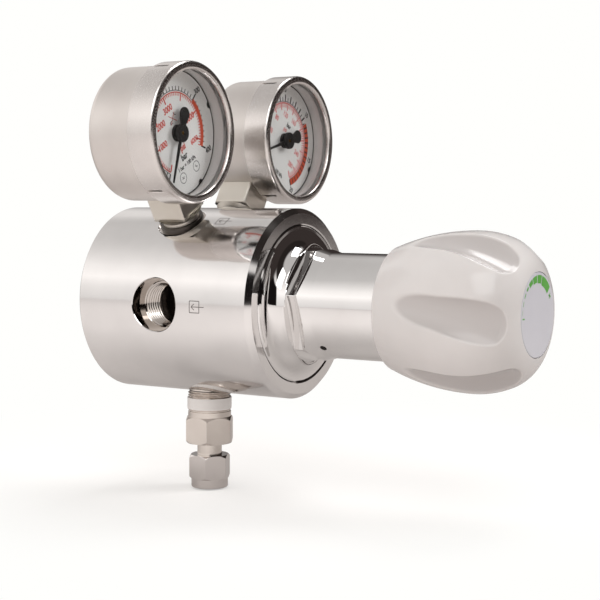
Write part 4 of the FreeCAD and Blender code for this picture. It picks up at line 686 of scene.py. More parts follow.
def knobSurface(runs):
    # the turned grip, with the flutes taken out of it; where they meet the edge is eased
    s = knob
    a = np.linspace(0, turnFull, s["columns"] + 1)
    p = np.concatenate([runs[0][0], runs[1][0][1:], runs[2][0][1:]])
    r, z = np.meshgrid(p[:, 0], a, indexing="ij")[0], np.meshgrid(p[:, 1], a, indexing="ij")[0]
    cut = fluteRadius(a[None, :], z)
    e = s["edge"]
    h = np.clip(0.5 + (r - cut) / (2 * e), 0, 1)
    radius = r * (1 - h) + cut * h - e * h * (1 - h)
    radius = np.where(z > p[-1, 1] - 0.02, r, radius)
    points = polar(radius, a[None, :], z)
    n = np.cross(aroundRows(points), np.gradient(points, axis=0))
    n /= np.linalg.norm(n, axis=-1, keepdims=True)
    if np.einsum("ijk,ijk->ij", n, points * [1, 1, 0]).sum() < 0:
        n = -n
    return a, patchOf(points, n), p


def makeKnob():
    # the grip, then a lathe run down the badge's seat, through the screw's and the hub's bores and
    # out of the hollow round the neck to the rear lip
    s = knob
    a, grip, p = knobSurface(knobProfile())
    lip = s["level"] + s["lip"]
    half = (s["rear"] - s["mouth"]) / 2
    rim = p[-1, 0]
    seat = s["level"] + s["length"] - s["sunk"]
    hub, boss, hollow = (s["level"] + s[key] for key in ("hubFloor", "bossFloor", "cavity"))
    corners = [tuple(p[-1]), (rim, seat), (s["screwHead"], seat), (s["screwHead"], seat - s["headDepth"]),
               (s["screwBore"], seat - s["headDepth"]), (s["screwBore"], hub), (s["hubBore"], hub),
               (s["hubBore"], boss), (s["boss"], boss), (s["boss"], hollow), (s["mouth"], hollow),
               (s["mouth"], lip)]
    inside = profile(corners) + [arc((s["mouth"] + half, lip), half, 180, 360, 10)]
    piece = buildMesh("knobGrip", [grip] + lathe(inside, angles=a), onAxis, knobPlastic, "knob",
                      ["knob"])
    # how deep each point lies below the turned shape, eased from 0 to 1 over the first millimetre;
    # the knob's material turns greyer by it, painted shade in the flutes
    mesh = piece.data
    co = np.zeros(len(mesh.vertices) * 3)
    mesh.vertices.foreach_get("co", co)
    x, y, z = co.reshape(-1, 3).T * 1000
    depth = np.interp(-y, p[:, 1], p[:, 0]) - np.hypot(x, z)
    share = np.clip((depth - s["shadeFrom"]) / s["shadeOver"], 0, 1)
    share = share * share * (3 - 2 * share)
    mesh.attributes.new("hollow", "FLOAT", "POINT").data.foreach_set("value", share)


makeKnob()

badge = {"low": 168.35, "radius": 14.4, "thickness": 1.0, "edge": 0.2, "film": 0.03, "ringOut": 13.4,
         "dashes": [(-88, -80, 0.2), (-75, -67, 0.3), (-62, -54, 0.5), (-49, -42, 0.9), (-38, -24, 1.7),
                    (-22, -6, 2.4), (-4, 12, 2.8), (14, 48, 3.3)],
         "signs": [(-12.4, -0.6, 1.7, 0.5, 0), (9.9, 5.9, 2.0, 0.5, 20), (9.9, 5.9, 0.5, 2.0, 20)]}


def flatShape(outline, z):
    # a flat strip between two edges, given as two rows of points
    rows = np.asarray(outline, float)
    return flatPatch(np.concatenate([rows, np.full(rows.shape[:2] + (1,), z)], -1), (0, 0, 1))


def ringPart(inner, outer, start, end, z, steps=48):
    # part of a flat ring between two angles, measured clockwise from straight up
    a = np.radians(np.linspace(start, end, steps + 1))
    return flatShape([np.stack([r * np.sin(a), r * np.cos(a)], -1) for r in (inner, outer)], z)


def bar(x, y, width, height, turn, z=0.0):
    # a flat bar centred at (x, y), turned clockwise
    c, s = math.cos(math.radians(turn)), math.sin(math.radians(turn))
    box = np.array([[[-1, -1], [1, -1]], [[-1, 1], [1, 1]]], float) * [width / 2, height / 2]
    across, up = box[..., 0], box[..., 1]
    return flatShape(np.stack([across * c + up * s + x, -across * s + up * c + y], -1), z)


def makeBadge():
    # a thin disc, with a wedge of dashes that widen clockwise and a minus and a plus printed on it
    s = badge
    z = s["low"] + s["thickness"]
    top = z - s["film"]
    body = lathe(profile([(0, s["low"]), (s["radius"], s["low"]), (s["radius"], top - s["edge"]),
                          (s["radius"] - s["edge"], top), (0, top)]), 96)
    buildMesh("knobBadge", body, onAxis, badgeFilm, "knob", ["knob_badge"])
    wedge = [ringPart(s["ringOut"] - width, s["ringOut"], start, end, z, 12)
             for start, end, width in s["dashes"]]
    signs = [bar(*sign, z) for sign in s["signs"]]
    buildMesh("badgePrint", wedge + signs, onAxis, badgeGreen, "knob")


makeBadge()
print("knob made")


relief = {"thread": 8.25, "root": 7.55, "pitch": 1.0, "threadStart": 34.6, "bandStart": 37.5,
          "bandEnd": 41.75, "band": 8.5, "bandGap": 0.025, "hexStart": 44.9, "hexEnd": 55.05,
          "groove": [(0.0, 0.35), (0.3, 0.5), (0.3, 0.9), (0.0, 1.05)], "hexFlats": 17.0,
          "hexTrim": 1.2, "hexAngle": -28.5, "capBore": 6.05, "capFloor": 40.5,
          "springBore": 5.0, "seatLevel": 30.0, "passage": 2.2, "foot": 7.2, "footLevel": 24.0,
          "footBevel": 0.6, "spigotOut": 6.0, "spigot": 40.55, "neck": 4.7, "neckEnd": 64.0,
          "nutStart": 59.65, "nutHexEnd": 68.8, "nutEnd": 72.3, "nutFlats": 14.3, "nutTrim": 1.0,
          "nutAngle": -23.5, "collar": 7.05, "tube": 3.25, "coneOut": 4.4, "coneDepth": 1.2,
          "tubeDepth": 4.0, "ferrule": 4.8, "ferruleDepth": 1.0, "sides": 72, "hexSides": 288}


def hexBar(flats, low, high, trim, corner, rows=8):
    # a length of hexagon bar: the smaller of the flats' distance and a cone of 45 degrees turned at
    # each end; corner is the angle of one corner from the port's own x
    reach = flats / math.sqrt(3)

    def shape(z, a):
        side = (a + math.pi / 2 - math.radians(corner) - math.pi / 6) % (math.pi / 3)
        side = np.minimum(side, math.pi / 3 - side)
        cone = reach - trim + np.minimum(z - low, high - z)
        return polar(np.minimum(flats / 2 / np.cos(side), cone), a, z)
    z = np.unique(np.concatenate([np.linspace(low, low + trim * 1.1, rows + 1),
                                  np.linspace(high - trim * 1.1, high, rows + 1)]))
    return sheetPatch(shape, z, np.linspace(0, turnFull, relief["hexSides"] + 1), flip=True), shape


def endRing(shape, z, radius, up=1):
    # the flat end of a bar, from its own outline in to a round of that radius
    a = np.linspace(0, turnFull, relief["hexSides"] + 1)
    return flatPatch([shape(z, a), polar(radius, a, z)], (0, 0, up))


def externalThread(root, crest, low, high, pitch, sides, steps=10):
    # outside thread: the radius swings between root and crest once each pitch and climbs one
    # pitch each turn; it fades out at both ends
    def shape(z, a):
        phase = (z / pitch + a / turnFull) % 1.0
        ridge = np.clip(1.15 - np.abs(phase - 0.5) * 2.6, 0, 1)
        fade = np.clip(np.minimum(z - low, high - z) / (pitch * 0.4), 0, 1)
        return polar(root + (crest - root) * ridge * fade, a, z)
    z = np.linspace(low, high, int((high - low) / pitch * steps) + 1)
    return sheetPatch(shape, z, np.linspace(0, turnFull, sides + 1), flip=True)


def makeRelief():
    # body with its thread and a groove above the label, the label's sleeve, the hexagon cap with
    # its neck, and the open tube nut that hangs on the neck
    s = relief
    place = inPort(180.0)
    thread, end, high = s["thread"], s["neckEnd"], s["nutHexEnd"]
    inBand = thread + s["bandGap"]
    groove = [(thread - deep, s["bandEnd"] + up, 0.1) for deep, up in s["groove"]]
    body = lathe(profile([(s["capBore"], s["hexStart"]), (s["capBore"], s["capFloor"]),
                          (s["springBore"], s["capFloor"]), (s["springBore"], s["seatLevel"]),
                          (s["passage"], s["seatLevel"]), (s["passage"], s["footLevel"]),
                          (s["foot"], s["footLevel"]), (s["root"], s["footLevel"] + s["footBevel"]),
                          (s["root"], s["threadStart"])]), s["sides"])
    body.append(externalThread(s["root"], thread, s["threadStart"], s["bandStart"], s["pitch"], s["sides"]))
    body += lathe(profile([(s["root"], s["bandStart"]), (thread, s["bandStart"], 0.15), *groove,
                           (thread, s["hexStart"]), (s["capBore"], s["hexStart"])], rows=3), s["sides"])
    buildMesh("reliefBody", body, place, valveSteel, replaces=["relief_body"])
    band = lathe(profile([(inBand, s["bandStart"]), (s["band"], s["bandStart"]), (s["band"], s["bandEnd"]),
                          (inBand, s["bandEnd"])], closed=True), 96)
    buildMesh("reliefBand", band, place, labelFilm, replaces=["relief_band"])
    hexPatch, shape = hexBar(s["hexFlats"], s["hexStart"], s["hexEnd"], s["hexTrim"], s["hexAngle"])
    cap = [hexPatch, endRing(shape, s["hexStart"], s["spigotOut"], up=-1),
           endRing(shape, s["hexEnd"], s["neck"])]
    cap += lathe(profile([(s["neck"], s["hexEnd"]), (s["neck"], end), (s["coneOut"], end),
                          (s["tube"], end - s["coneDepth"]), (s["tube"], end - s["tubeDepth"]),
                          (s["passage"], end - s["tubeDepth"]), (s["passage"], s["spigot"]),
                          (s["spigotOut"], s["spigot"]), (s["spigotOut"], s["hexStart"])]), s["hexSides"])
    buildMesh("reliefCap", cap, place, valveSteel, replaces=["relief_cap"])
    hexPatch, shape = hexBar(s["nutFlats"], s["nutStart"], high, s["nutTrim"], s["nutAngle"])
    nut = [hexPatch, endRing(shape, s["nutStart"], s["ferrule"], up=-1), endRing(shape, high, s["collar"])]
    nut += lathe(profile([(s["collar"], high), (s["collar"], s["nutEnd"], 0.7), (s["tube"], s["nutEnd"], 0.3),
                          (s["tube"], high), (s["ferrule"], high - s["ferruleDepth"]),
                          (s["ferrule"], s["nutStart"])]), s["hexSides"])
    buildMesh("tubeNut", nut, place, nutSteel, replaces=["outlet_nut"])


makeRelief()
print("relief valve made")


gauge = {"case": 23.9, "wall": 1.1, "depth": 10.7, "front": 15.0, "round": 3.2, "fit": 0.05,
         "bezel": 25.1, "bezelBack": 8.7, "lipTop": 19.3, "lipDepth": 1.4, "opening": 21.9,
         "bezelRound": 1.4, "lipRound": 1.1, "slotEnd": 15.6, "slotWidth": 0.8, "pane": 23.85,
         "windowLow": 15.8, "windowTop": 17.8, "dial": 22.6, "dialLevel": 11.2, "dialThickness": 0.6,
         "dialHole": 0.9, "notch": 1.5, "notches": (0.0, -80.0, 180.0), "boss": 3.0, "bossTop": 12.2,
         "pointerLevel": 13.0, "pointerThickness": 0.5, "tip": 18.3, "tail": 9.5, "paddle": 5.3,
         "waist": -2.0, "waistHalf": 1.0, "root": 0.8, "point": 0.22, "arbor": 0.61, "collet": 2.3,
         "dimple": 1.0, "hub": 3.3, "hubHeight": 1.3, "start": -135.0, "sweep": 270.0, "wallSteps": 5,
         # the black ring at the dial's rim is painted shadow of the gap between dial and case wall
         "wallStep": 0.11, "dialEdgeShade": (22.2, 22.57), "print": 0.03, "layer": 0.02}
socket = {"flats": 14.0, "blockStart": 38.5, "washerTop": 35.6, "collar": 6.9, "collarHeight": 1.3,
          "shank": 5.65, "shankStart": 23.0, "edge": 0.5, "sides": 240}


def makeCase(name, place):
    # a drawn cup; inside it a lacquered wall, turned in fine steps, and the boss under the pointer
    s = gauge
    inner = s["case"] - s["wall"]
    runs = profile([(0, -s["depth"]), (s["case"], -s["depth"], s["round"]), (s["case"], s["front"]),
                    (inner, s["front"]), (inner, -s["depth"] + s["wall"], s["round"] - s["wall"]),
                    (0, -s["depth"] + s["wall"])], rows=10)
    buildMesh(name + "CaseShell", lathe(runs, 192), place, gaugeSteel, replaces=[name + "_case"])
    levels = np.linspace(s["dialLevel"] + 0.15, s["windowLow"] - 0.05, s["wallSteps"] + 1)
    radii = inner - 0.04 - s["wallStep"] * np.arange(1, s["wallSteps"] + 1)
    corners = [(r, z) for r, ends in zip(radii, zip(levels, levels[1:])) for z in ends]
    buildMesh(name + "InnerWall", lathe(profile(corners), 192), place, innerLacquer)
    boss = lathe(profile([(0.0, s["dialLevel"]), (s["boss"], s["dialLevel"]), (s["boss"], s["bossTop"], 0.2),
                          (0.0, s["bossTop"])]), 48)
    buildMesh(name + "DialBoss", boss, place, pointerPaint)


def makeBezel(name, place, firstSlot):
    # bezel ring with a rolled front edge; three narrow bayonet slots run up its skirt
    s = gauge
    bore, stop, back = s["case"] + s["fit"], s["slotEnd"], s["bezelBack"]
    under = s["lipTop"] - s["lipDepth"]
    patches = lathe(profile([(bore, stop), (s["bezel"], stop), (s["bezel"], s["lipTop"], s["bezelRound"]),
                             (s["opening"], s["lipTop"], s["lipRound"]), (s["opening"], under),
                             (bore, under)], closed=True, rows=8), 192)
    half = math.degrees(s["slotWidth"] / 2 / s["bezel"])
    skirt = profile([(bore, stop), (bore, back), (s["bezel"], back, 0.2), (s["bezel"], stop)], rows=4)
    for start in firstSlot + 120 * np.arange(3):
        a = np.radians(np.linspace(start + half, start + 120 - half, 65))
        patches += lathe(skirt, angles=a)
        for turn, way in ((a[0], -1.0), (a[-1], 1.0)):
            side = [[polar(r, turn, z) for z in (back, stop)] for r in (bore, s["bezel"])]
            patches.append(flatPatch(side, polar(way, turn + math.pi / 2, 0.0)))
    buildMesh(name + "BezelRing", patches, place, bezelSteel, replaces=[name + "_bezel"])


def makeDial(name, place):
    # enamelled disc: its edge is the disc's radius, or the near side of a small round notch where
    # a ray from the middle meets one
    s = gauge
    a = np.linspace(0, turnFull, 721)
    edge = np.full(a.shape, s["dial"])
    for notch in s["notches"]:
        turn = a - math.radians(notch - 90)
        far = s["dial"] * np.cos(turn)
        inside = s["notch"] ** 2 - (s["dial"] * np.sin(turn)) ** 2
        hit = far - np.sqrt(np.clip(inside, 0, None))
        edge = np.where((inside > 0) & (far > 0), np.minimum(edge, hit), edge)
    low, top = s["dialLevel"] - s["dialThickness"], s["dialLevel"]
    out = -np.stack([np.sin(a), -np.cos(a), 0 * a], -1)
    rim, hole = ([polar(r, a, z) for z in (low, top)] for r in (edge, s["dialHole"]))
    patches = [flatPatch([rim[1], hole[1]], (0, 0, 1)), flatPatch([rim[0], hole[0]], (0, 0, -1)),
               patchOf(rim, [out, out]), patchOf(hole, [-out, -out])]
    buildMesh(name + "DialFace", patches, place, dialEnamel, replaces=[name + "_dial"])


def makePointer(name, place, body):
    # hub, and a blade whose half width follows its length: a round paddle behind, a taper to the
    # hub, then slim to the tip
    s = gauge
    turn = math.radians(s["start"])
    tail, half, waist = -s["tail"], s["paddle"] / 2, s["waist"]
    ball = tail + half
    y = np.concatenate([np.linspace(tail, ball, 14), np.linspace(ball + 0.15, s["tip"], 40)])
    width = np.where(y < ball, np.sqrt(np.clip(half ** 2 - (y - ball) ** 2, 0, None)),
                     np.where(y < waist, half + (s["waistHalf"] - half) * (y - ball) / (waist - ball),
                              s["root"] + (s["point"] - s["root"]) * (y - waist) / (s["tip"] - waist)))
    width = np.maximum(width, 0.02)
    x, y = np.stack([-width, width]), np.stack([y, y])
    c, sn = math.cos(turn), math.sin(turn)
    z0 = s["pointerLevel"]
    low, top = (np.stack([x * c + y * sn, -x * sn + y * c, np.full(x.shape, z)], -1)
                for z in (z0, z0 + s["pointerThickness"]))
    sideWay = np.broadcast_to(np.array([c, -sn, 0.0]), top[0].shape)
    endWay = np.array([sn, c, 0.0])
    patches = [flatPatch(top, (0, 0, 1)), flatPatch(low, (0, 0, -1)),
               patchOf([low[0], top[0]], [-sideWay, -sideWay]), patchOf([low[1], top[1]], [sideWay, sideWay]),
               flatPatch([low[:, 0], top[:, 0]], -endWay), flatPatch([low[:, -1], top[:, -1]], endWay)]
    buildMesh(name + "PointerBlade", patches, place, pointerPaint, body)
    low, top = z0 - 0.6, z0 + s["hubHeight"]
    hub = lathe(profile([(s["arbor"], low), (s["collet"], low), (s["collet"], z0), (s["hub"], z0),
                         (s["hub"], top, 0.5), (s["dimple"], top, 0.2), (s["dimple"], top - 0.3),
                         (s["arbor"], top - 0.4)], closed=True, rows=5), 64)
    buildMesh(name + "PointerHub", hub, place, pointerPaint, body, [name + "_pointer"])


def makeSocket(name, angle):
    # square block with bevelled corners, on a cone and a collar; its far end follows the round of
    # the case
    s = socket
    a = np.linspace(0, turnFull, s["sides"] + 1)
    half = s["flats"] / 2

    def onCase(x):
        # the level at which a line x off the middle meets the case
        return stations["gaugeReach"] - np.sqrt((gauge["case"] + gauge["fit"]) ** 2 - x ** 2)

    def wall(u, a):
        c, n = np.abs(np.cos(a)), np.abs(np.sin(a))
        r = np.minimum(half / np.maximum(c, n), (2 * half - s["edge"]) / (c + n))
        return polar(r, a, s["blockStart"] + (onCase(-r * np.sin(a)) - s["blockStart"]) * u)
    end = wall(1.0 + 0 * a, a)[None] * np.linspace(1, 0, 7)[:, None, None]
    end[..., 2] = onCase(end[..., 0])
    n = np.stack([-end[..., 0], 0 * end[..., 0], stations["gaugeReach"] - end[..., 2]], -1)
    collarTop = s["washerTop"] + s["collarHeight"]
    coneTop = s["collar"] + s["blockStart"] - collarTop
    patches = [sheetPatch(wall, np.linspace(0, 1, 9), a, flip=True),
               patchOf(end, n / np.linalg.norm(n, axis=-1, keepdims=True)),
               flatPatch([wall(0 * a, a), polar(coneTop, a, s["blockStart"])], (0, 0, -1))]
    patches += lathe(profile([(0, s["shankStart"]), (s["shank"], s["shankStart"]),
                              (s["shank"], s["washerTop"]), (s["collar"], s["washerTop"], 0.2),
                              (s["collar"], collarTop), (coneTop, s["blockStart"])]), angles=a)
    buildMesh(name + "SocketBlock", patches, inPort(angle), socketNickel, replaces=[name + "_socket"])


def textShapes(words):
    # generic figures and units as flat meshes from (text, x, y, height): the font's capitals are
    # 1/1.4 of its size, drawn a little bolder and narrower, as on such dials
    parts, faces, base = [], [], 0
    for text, x, y, height in words:
        curve = bpy.data.curves.new("figure", "FONT")
        curve.body = text
        curve.align_x, curve.align_y = "CENTER", "CENTER"
        curve.size, curve.offset = height * 1.4, height * 0.045
        curve.resolution_u = 3
        holder = bpy.data.objects.new("figure", curve)
        mesh = bpy.data.meshes.new_from_object(holder)
        co = np.zeros(len(mesh.vertices) * 3)
        mesh.vertices.foreach_get("co", co)
        parts.append(co.reshape(-1, 3) * [0.85, 1, 0] + [x, y, 0])
        faces += [[base + v for v in poly.vertices] for poly in mesh.polygons]
        base += len(mesh.vertices)
        bpy.data.objects.remove(holder)
        bpy.data.meshes.remove(mesh)
    return np.concatenate(parts), faces


def makeFigures(name, words, z, place, material):
    # a dial's figures and units as one piece
    points, faces = textShapes(words)
    mesh = bpy.data.meshes.new(name)
    mesh.from_pydata(place(points + [0, 0, z]).tolist(), [], faces)
    addPiece(name, mesh, material)


def around(radius, turn):
    # a point at that radius, turned clockwise from straight up
    return radius * math.sin(math.radians(turn)), radius * math.cos(math.radians(turn))


def ticks(count, every, inner, longer, outer, width, start=0):
    # scale marks along the sweep: count steps over it, each every-th one longer and wider
    s = gauge
    out = []
    for i in range(start, count + 1):
        turn = s["start"] + s["sweep"] * i / count
        low, wide = (longer, width * 1.6) if i % every == 0 else (inner, width)
        out.append(bar(*around((low + outer) / 2, turn), wide, abs(outer - low), turn))
    return out


def scaleWords(radius, height, labels):
    # figures along the sweep, from (text, share of the sweep)
    s = gauge
    return [(text, *around(radius, s["start"] + s["sweep"] * share), height) for text, share in labels]


def strips(shapes, name, z, place, material):
    # flat bars and ring parts printed on a dial, as one mesh
    buildMesh(name, [patchOf(p + [0, 0, z], n) for p, n in shapes], place, material)


def markRing(x, y, radius, width):
    # a small printed circle
    p, n = ringPart(radius - width, radius, 0, 360, 0.0, 40)
    return patchOf(p + [x, y, 0], n)


# What is printed on each dial, in mm from its middle: marks are (steps, longer every, inner, longer's
# inner, outer, width, first), a scale line is (inner, outer), the alarm band (inner, outer, share of
# the sweep where it starts), a circle (x, y, radius, width), a bar (x, y, width, height, turn) and a
# word (text, x, y, height).
highDial = {
    "marks": (40, 10, 16.6, 17.9, 15.1, 0.4), "line": (14.95, 15.2),
    "circles": [(4.4, -15.6, 2.0, 0.22), (-4.6, -15.6, 2.0, 0.22)],
    "bars": [(4.4, -15.6, 1.6, 0.2, 20), (4.4, -15.6, 1.6, 0.2, 65), (-4.6, -15.6, 1.6, 0.2, -25),
             (-4.6, -15.6, 1.6, 0.2, 40), (-1.3, 4.9, 1.5, 0.22, -20), (-1.0, 4.1, 1.6, 0.22, 0),
             (-1.75, 4.5, 0.22, 1.1, 10), (0.2, 5.5, 1.4, 0.25, -50), (1.7, 6.9, 1.2, 0.25, 60),
             (2.3, 6.2, 0.9, 0.2, 20)],
    "figures": (19.8, 2.0, [("0", 0), ("100", 0.25), ("200", 0.5), ("300", 0.75), ("400", 1.0)]),
    "words": [("bar", -0.3, -9.2, 2.4), ("1 bar = 100 kPa", -0.2, -12.2, 1.5)],
    "ink": inkRed, "innerMarks": (62, 10, 13.2, 11.6, 14.3, 0.4), "innerLine": (14.2, 14.62),
    "innerBars": [(0.3, 5.6, 5.2, 0.26, 42), (0.3, 5.6, 5.2, 0.26, -42)],
    "innerFigures": (9.6, 2.3, [(str(1000 * k), k / 6.2) for k in (1, 2, 3, 5)]),
    "innerWords": [("6000", *around(10.6, 131), 2.0), ("psi", 0.6, -5.9, 2.4)],
    "alarm": (14.6, 16.0, 0.75), "alarmMarks": None,
}
lowDial = {
    "marks": (40, 2, 17.2, 18.3, 15.7, 0.44), "line": (15.5, 15.75), "circles": [], "bars": [],
    "figures": (20.1, 2.0, [("0", 0), ("5", 0.4), ("10", 0.6), ("15", 0.8), ("20", 1.0)]),
    "words": [("bar", 0, 6.8, 1.9), ("1 bar = 100 kPa", 0, -13.2, 1.5)],
    "ink": inkPink, "innerMarks": (70, 5, 13.2, 12.2, 14.8, 0.42), "innerLine": (14.7, 15.3),
    "innerBars": [],
    "innerFigures": (10.4, 2.0, [(str(40 * k), k / 7.3) for k in range(1, 8)]),
    "innerWords": [("psi", -1.6, 4.3, 1.8)],
    "alarm": (15.7, 18.2, 0.63), "alarmMarks": (40, 1, 18.2, 18.2, 15.7, 0.36, 26),
}


def printDial(name, place, s):
    # the outer scale in black with a thin black ring at the edge, painted shadow of the gap round the
    # dial, the inner scale in its own ink, a red band over the last part of the sweep, with marks
    # across it on the low dial, then the figures
    z, start, end = gauge["dialLevel"] + gauge["print"], gauge["start"], gauge["start"] + gauge["sweep"]
    black = ticks(*s["marks"])
    black += [ringPart(*s["line"], start, end, 0.0, 120), ringPart(*gauge["dialEdgeShade"], 0, 360, 0.0, 180)]
    black += [markRing(*each) for each in s["circles"]] + [bar(*each) for each in s["bars"]]
    strips(black, name + "ScaleBlack", z, place, inkBlack)
    inner = [ringPart(*s["innerLine"], start, end, 0.0, 120)] + ticks(*s["innerMarks"])
    inner += [bar(*each) for each in s["innerBars"]]
    strips(inner, name + "ScaleRed", z, place, s["ink"])
    low, high, share = s["alarm"]
    alarm = [ringPart(low, high, start + gauge["sweep"] * share, end, 0.0, 60)]
    strips(alarm, name + "AlarmBand", z + gauge["layer"], place, inkBand)
    if s["alarmMarks"]:
        strips(ticks(*s["alarmMarks"]), name + "AlarmMarks", z + 2 * gauge["layer"], place, inkBlack)
    makeFigures(name + "FiguresBlack", scaleWords(*s["figures"]) + s["words"], z, place, inkBlack)
    makeFigures(name + "FiguresRed", scaleWords(*s["innerFigures"]) + s["innerWords"], z, place, s["ink"])


def makeGauge(name, angle, dial, firstSlot):
    # one gauge on the port at that angle: case, bezel, dial, pointer, socket, window and print
    place = inGauge(angle)
    makeCase(name, place)
    makeBezel(name, place, firstSlot)
    makeDial(name, place)
    makePointer(name, place, name.split("_")[0] + "_pointer")
    makeSocket(name, angle)
    s = gauge
    glass = lathe(profile([(0, s["windowLow"]), (s["pane"], s["windowLow"]), (s["pane"], s["windowTop"]),
                           (0, s["windowTop"])]), 128)
    buildMesh(name + "WindowPane", glass, place, windowGlass, replaces=[name + "_window"])
    printDial(name + "Dial", place, dial)


makeGauge("high_gauge", stations["gaugeTilt"], highDial, -5.0)
makeGauge("low_gauge", -stations["gaugeTilt"], lowDial, 60.0)
print("gauges made")


# two engraved signs on the barrel, each an arrow that points into an open box
sign = {"size": 4.2, "line": 0.28, "lift": 0.015, "level": 53.6, "arrowFoot": -1.3, "arrowTop": 4.2,
        "barb": 1.1, "barbRise": 1.2}


def strokeOnBarrel(x0, z0, x1, z1, angle):
    # a thin stroke laid on the barrel's round: x across, z along, both from the sign's centre
    s = sign
    start, way = np.array([x0, z0]), np.array([x1 - x0, z1 - z0])
    side = np.array([-way[1], way[0]]) / np.linalg.norm(way) * s["line"] / 2
    middle = start + way * np.linspace(0, 1, 9)[:, None]
    edges = np.stack([middle - side, middle + side])
    a = math.radians(angle) - edges[..., 0] / barrel["radius"]
    return patchOf(polar(barrel["radius"] + s["lift"], a, edges[..., 1] + s["level"]), polar(1.0, a, 0 * a))


def makeSign(name, angle):
    # four strokes for the box and three for the arrow
    s = sign
    h, foot = s["size"] / 2, s["arrowFoot"]
    strokes = [(-h, -h, h, -h), (h, -h, h, h), (h, h, -h, h), (-h, h, -h, -h), (0, foot, 0, s["arrowTop"]),
               (0, foot, -s["barb"], foot + s["barbRise"]), (0, foot, s["barb"], foot + s["barbRise"])]
    patches = [strokeOnBarrel(*stroke, angle) for stroke in strokes]
    buildMesh(name, patches, onAxis, engraving)


makeSign("inletSign", 90.0)
makeSign("gaugeSign", 30.0)
print("signs made")


# the other solids keep their shapes and take their finish by their slot
finishes = {
    "stainless_steel": valveSteel, "machined_brass": plainBrass, "spring_steel": springSteel,
    "zinc_plated_steel": zincSteel, "sintered_steel": sintered, "valve_seat_plastic": seatPlastic,
    "seal_rubber": sealRubber, "washer_steel": washerSteel, "movement_brass": plainBrass,
    "tube_bronze": tubeBronze, "nickel_plated_brass": socketNickel, "chromed_brass": chromeBarrel,
    "moulded_knob_plastic": knobPlastic, "badge_film": badgeFilm, "label_film": labelFilm,
    "polished_gauge_steel": gaugeSteel, "gauge_glass": windowGlass, "dial_enamel": dialEnamel,
    "pointer_black": pointerPaint,
}
slotOf = {part["node"]: part["material_slot"] for part in frame["record"]["subparts"]}
for node, solid in frame["nodes"].items():
    for row in solid.material_slots:
        row.material = gasketSilicone if node.endswith("_gasket") else finishes[slotOf[node]]
print("solids dressed")


# The studio round the object. Height is a direction's z from -1 to 1 brought to 0 to 1; the dome is a
# pale grey, and the wall a broad white band behind the camera's left, which the barrel mirrors. The
# cards are dark panels, each round a direction in plan and between two heights.
studio = {
    "floor": -0.0728, "middle": (0.05, -0.04), "aim": (0.0, -0.07, 0.0),
    # grey paper: painted shade, the floor's darker copy for all rays but the camera's; the glow tint: painted
    # light
    "paper": "#a8a3a0", "paperSeen": "#fbf8f6", "white": "#fffffd", "paintedGlow": "#fdf8f6",
    "dome": [(0.0, 0.6), (0.5, 0.72), (0.66, 0.82), (0.8, 0.84), (0.86, 0.6), (1.0, 0.56)],
    "wall": [(0.0, 0.7), (0.5, 0.86), (0.6, 1.0), (0.68, 1.24), (0.76, 1.1), (0.84, 0.84), (0.9, 0.64),
             (1.0, 0.56)],
    "wallWay": (-0.85, 0.52, 0.0),
}
cards = {
    "side": {"way": (0.85, -0.52, 0.0), "near": 0.35, "soft": 0.15, "low": -0.045, "high": 0.75,
             "edge": 0.03, "tint": "#3a3331"},
    "front": {"way": (-0.42, -0.9, 0.0), "near": 0.84, "soft": 0.03, "low": -0.2, "high": 0.45,
              "edge": 0.03, "tint": "#171414"},
    "above": {"way": (0.45, -0.89, 0.0), "near": 0.25, "soft": 0.12, "low": 0.56, "high": 0.86,
              "edge": 0.04, "tint": "#2a2523"},
}


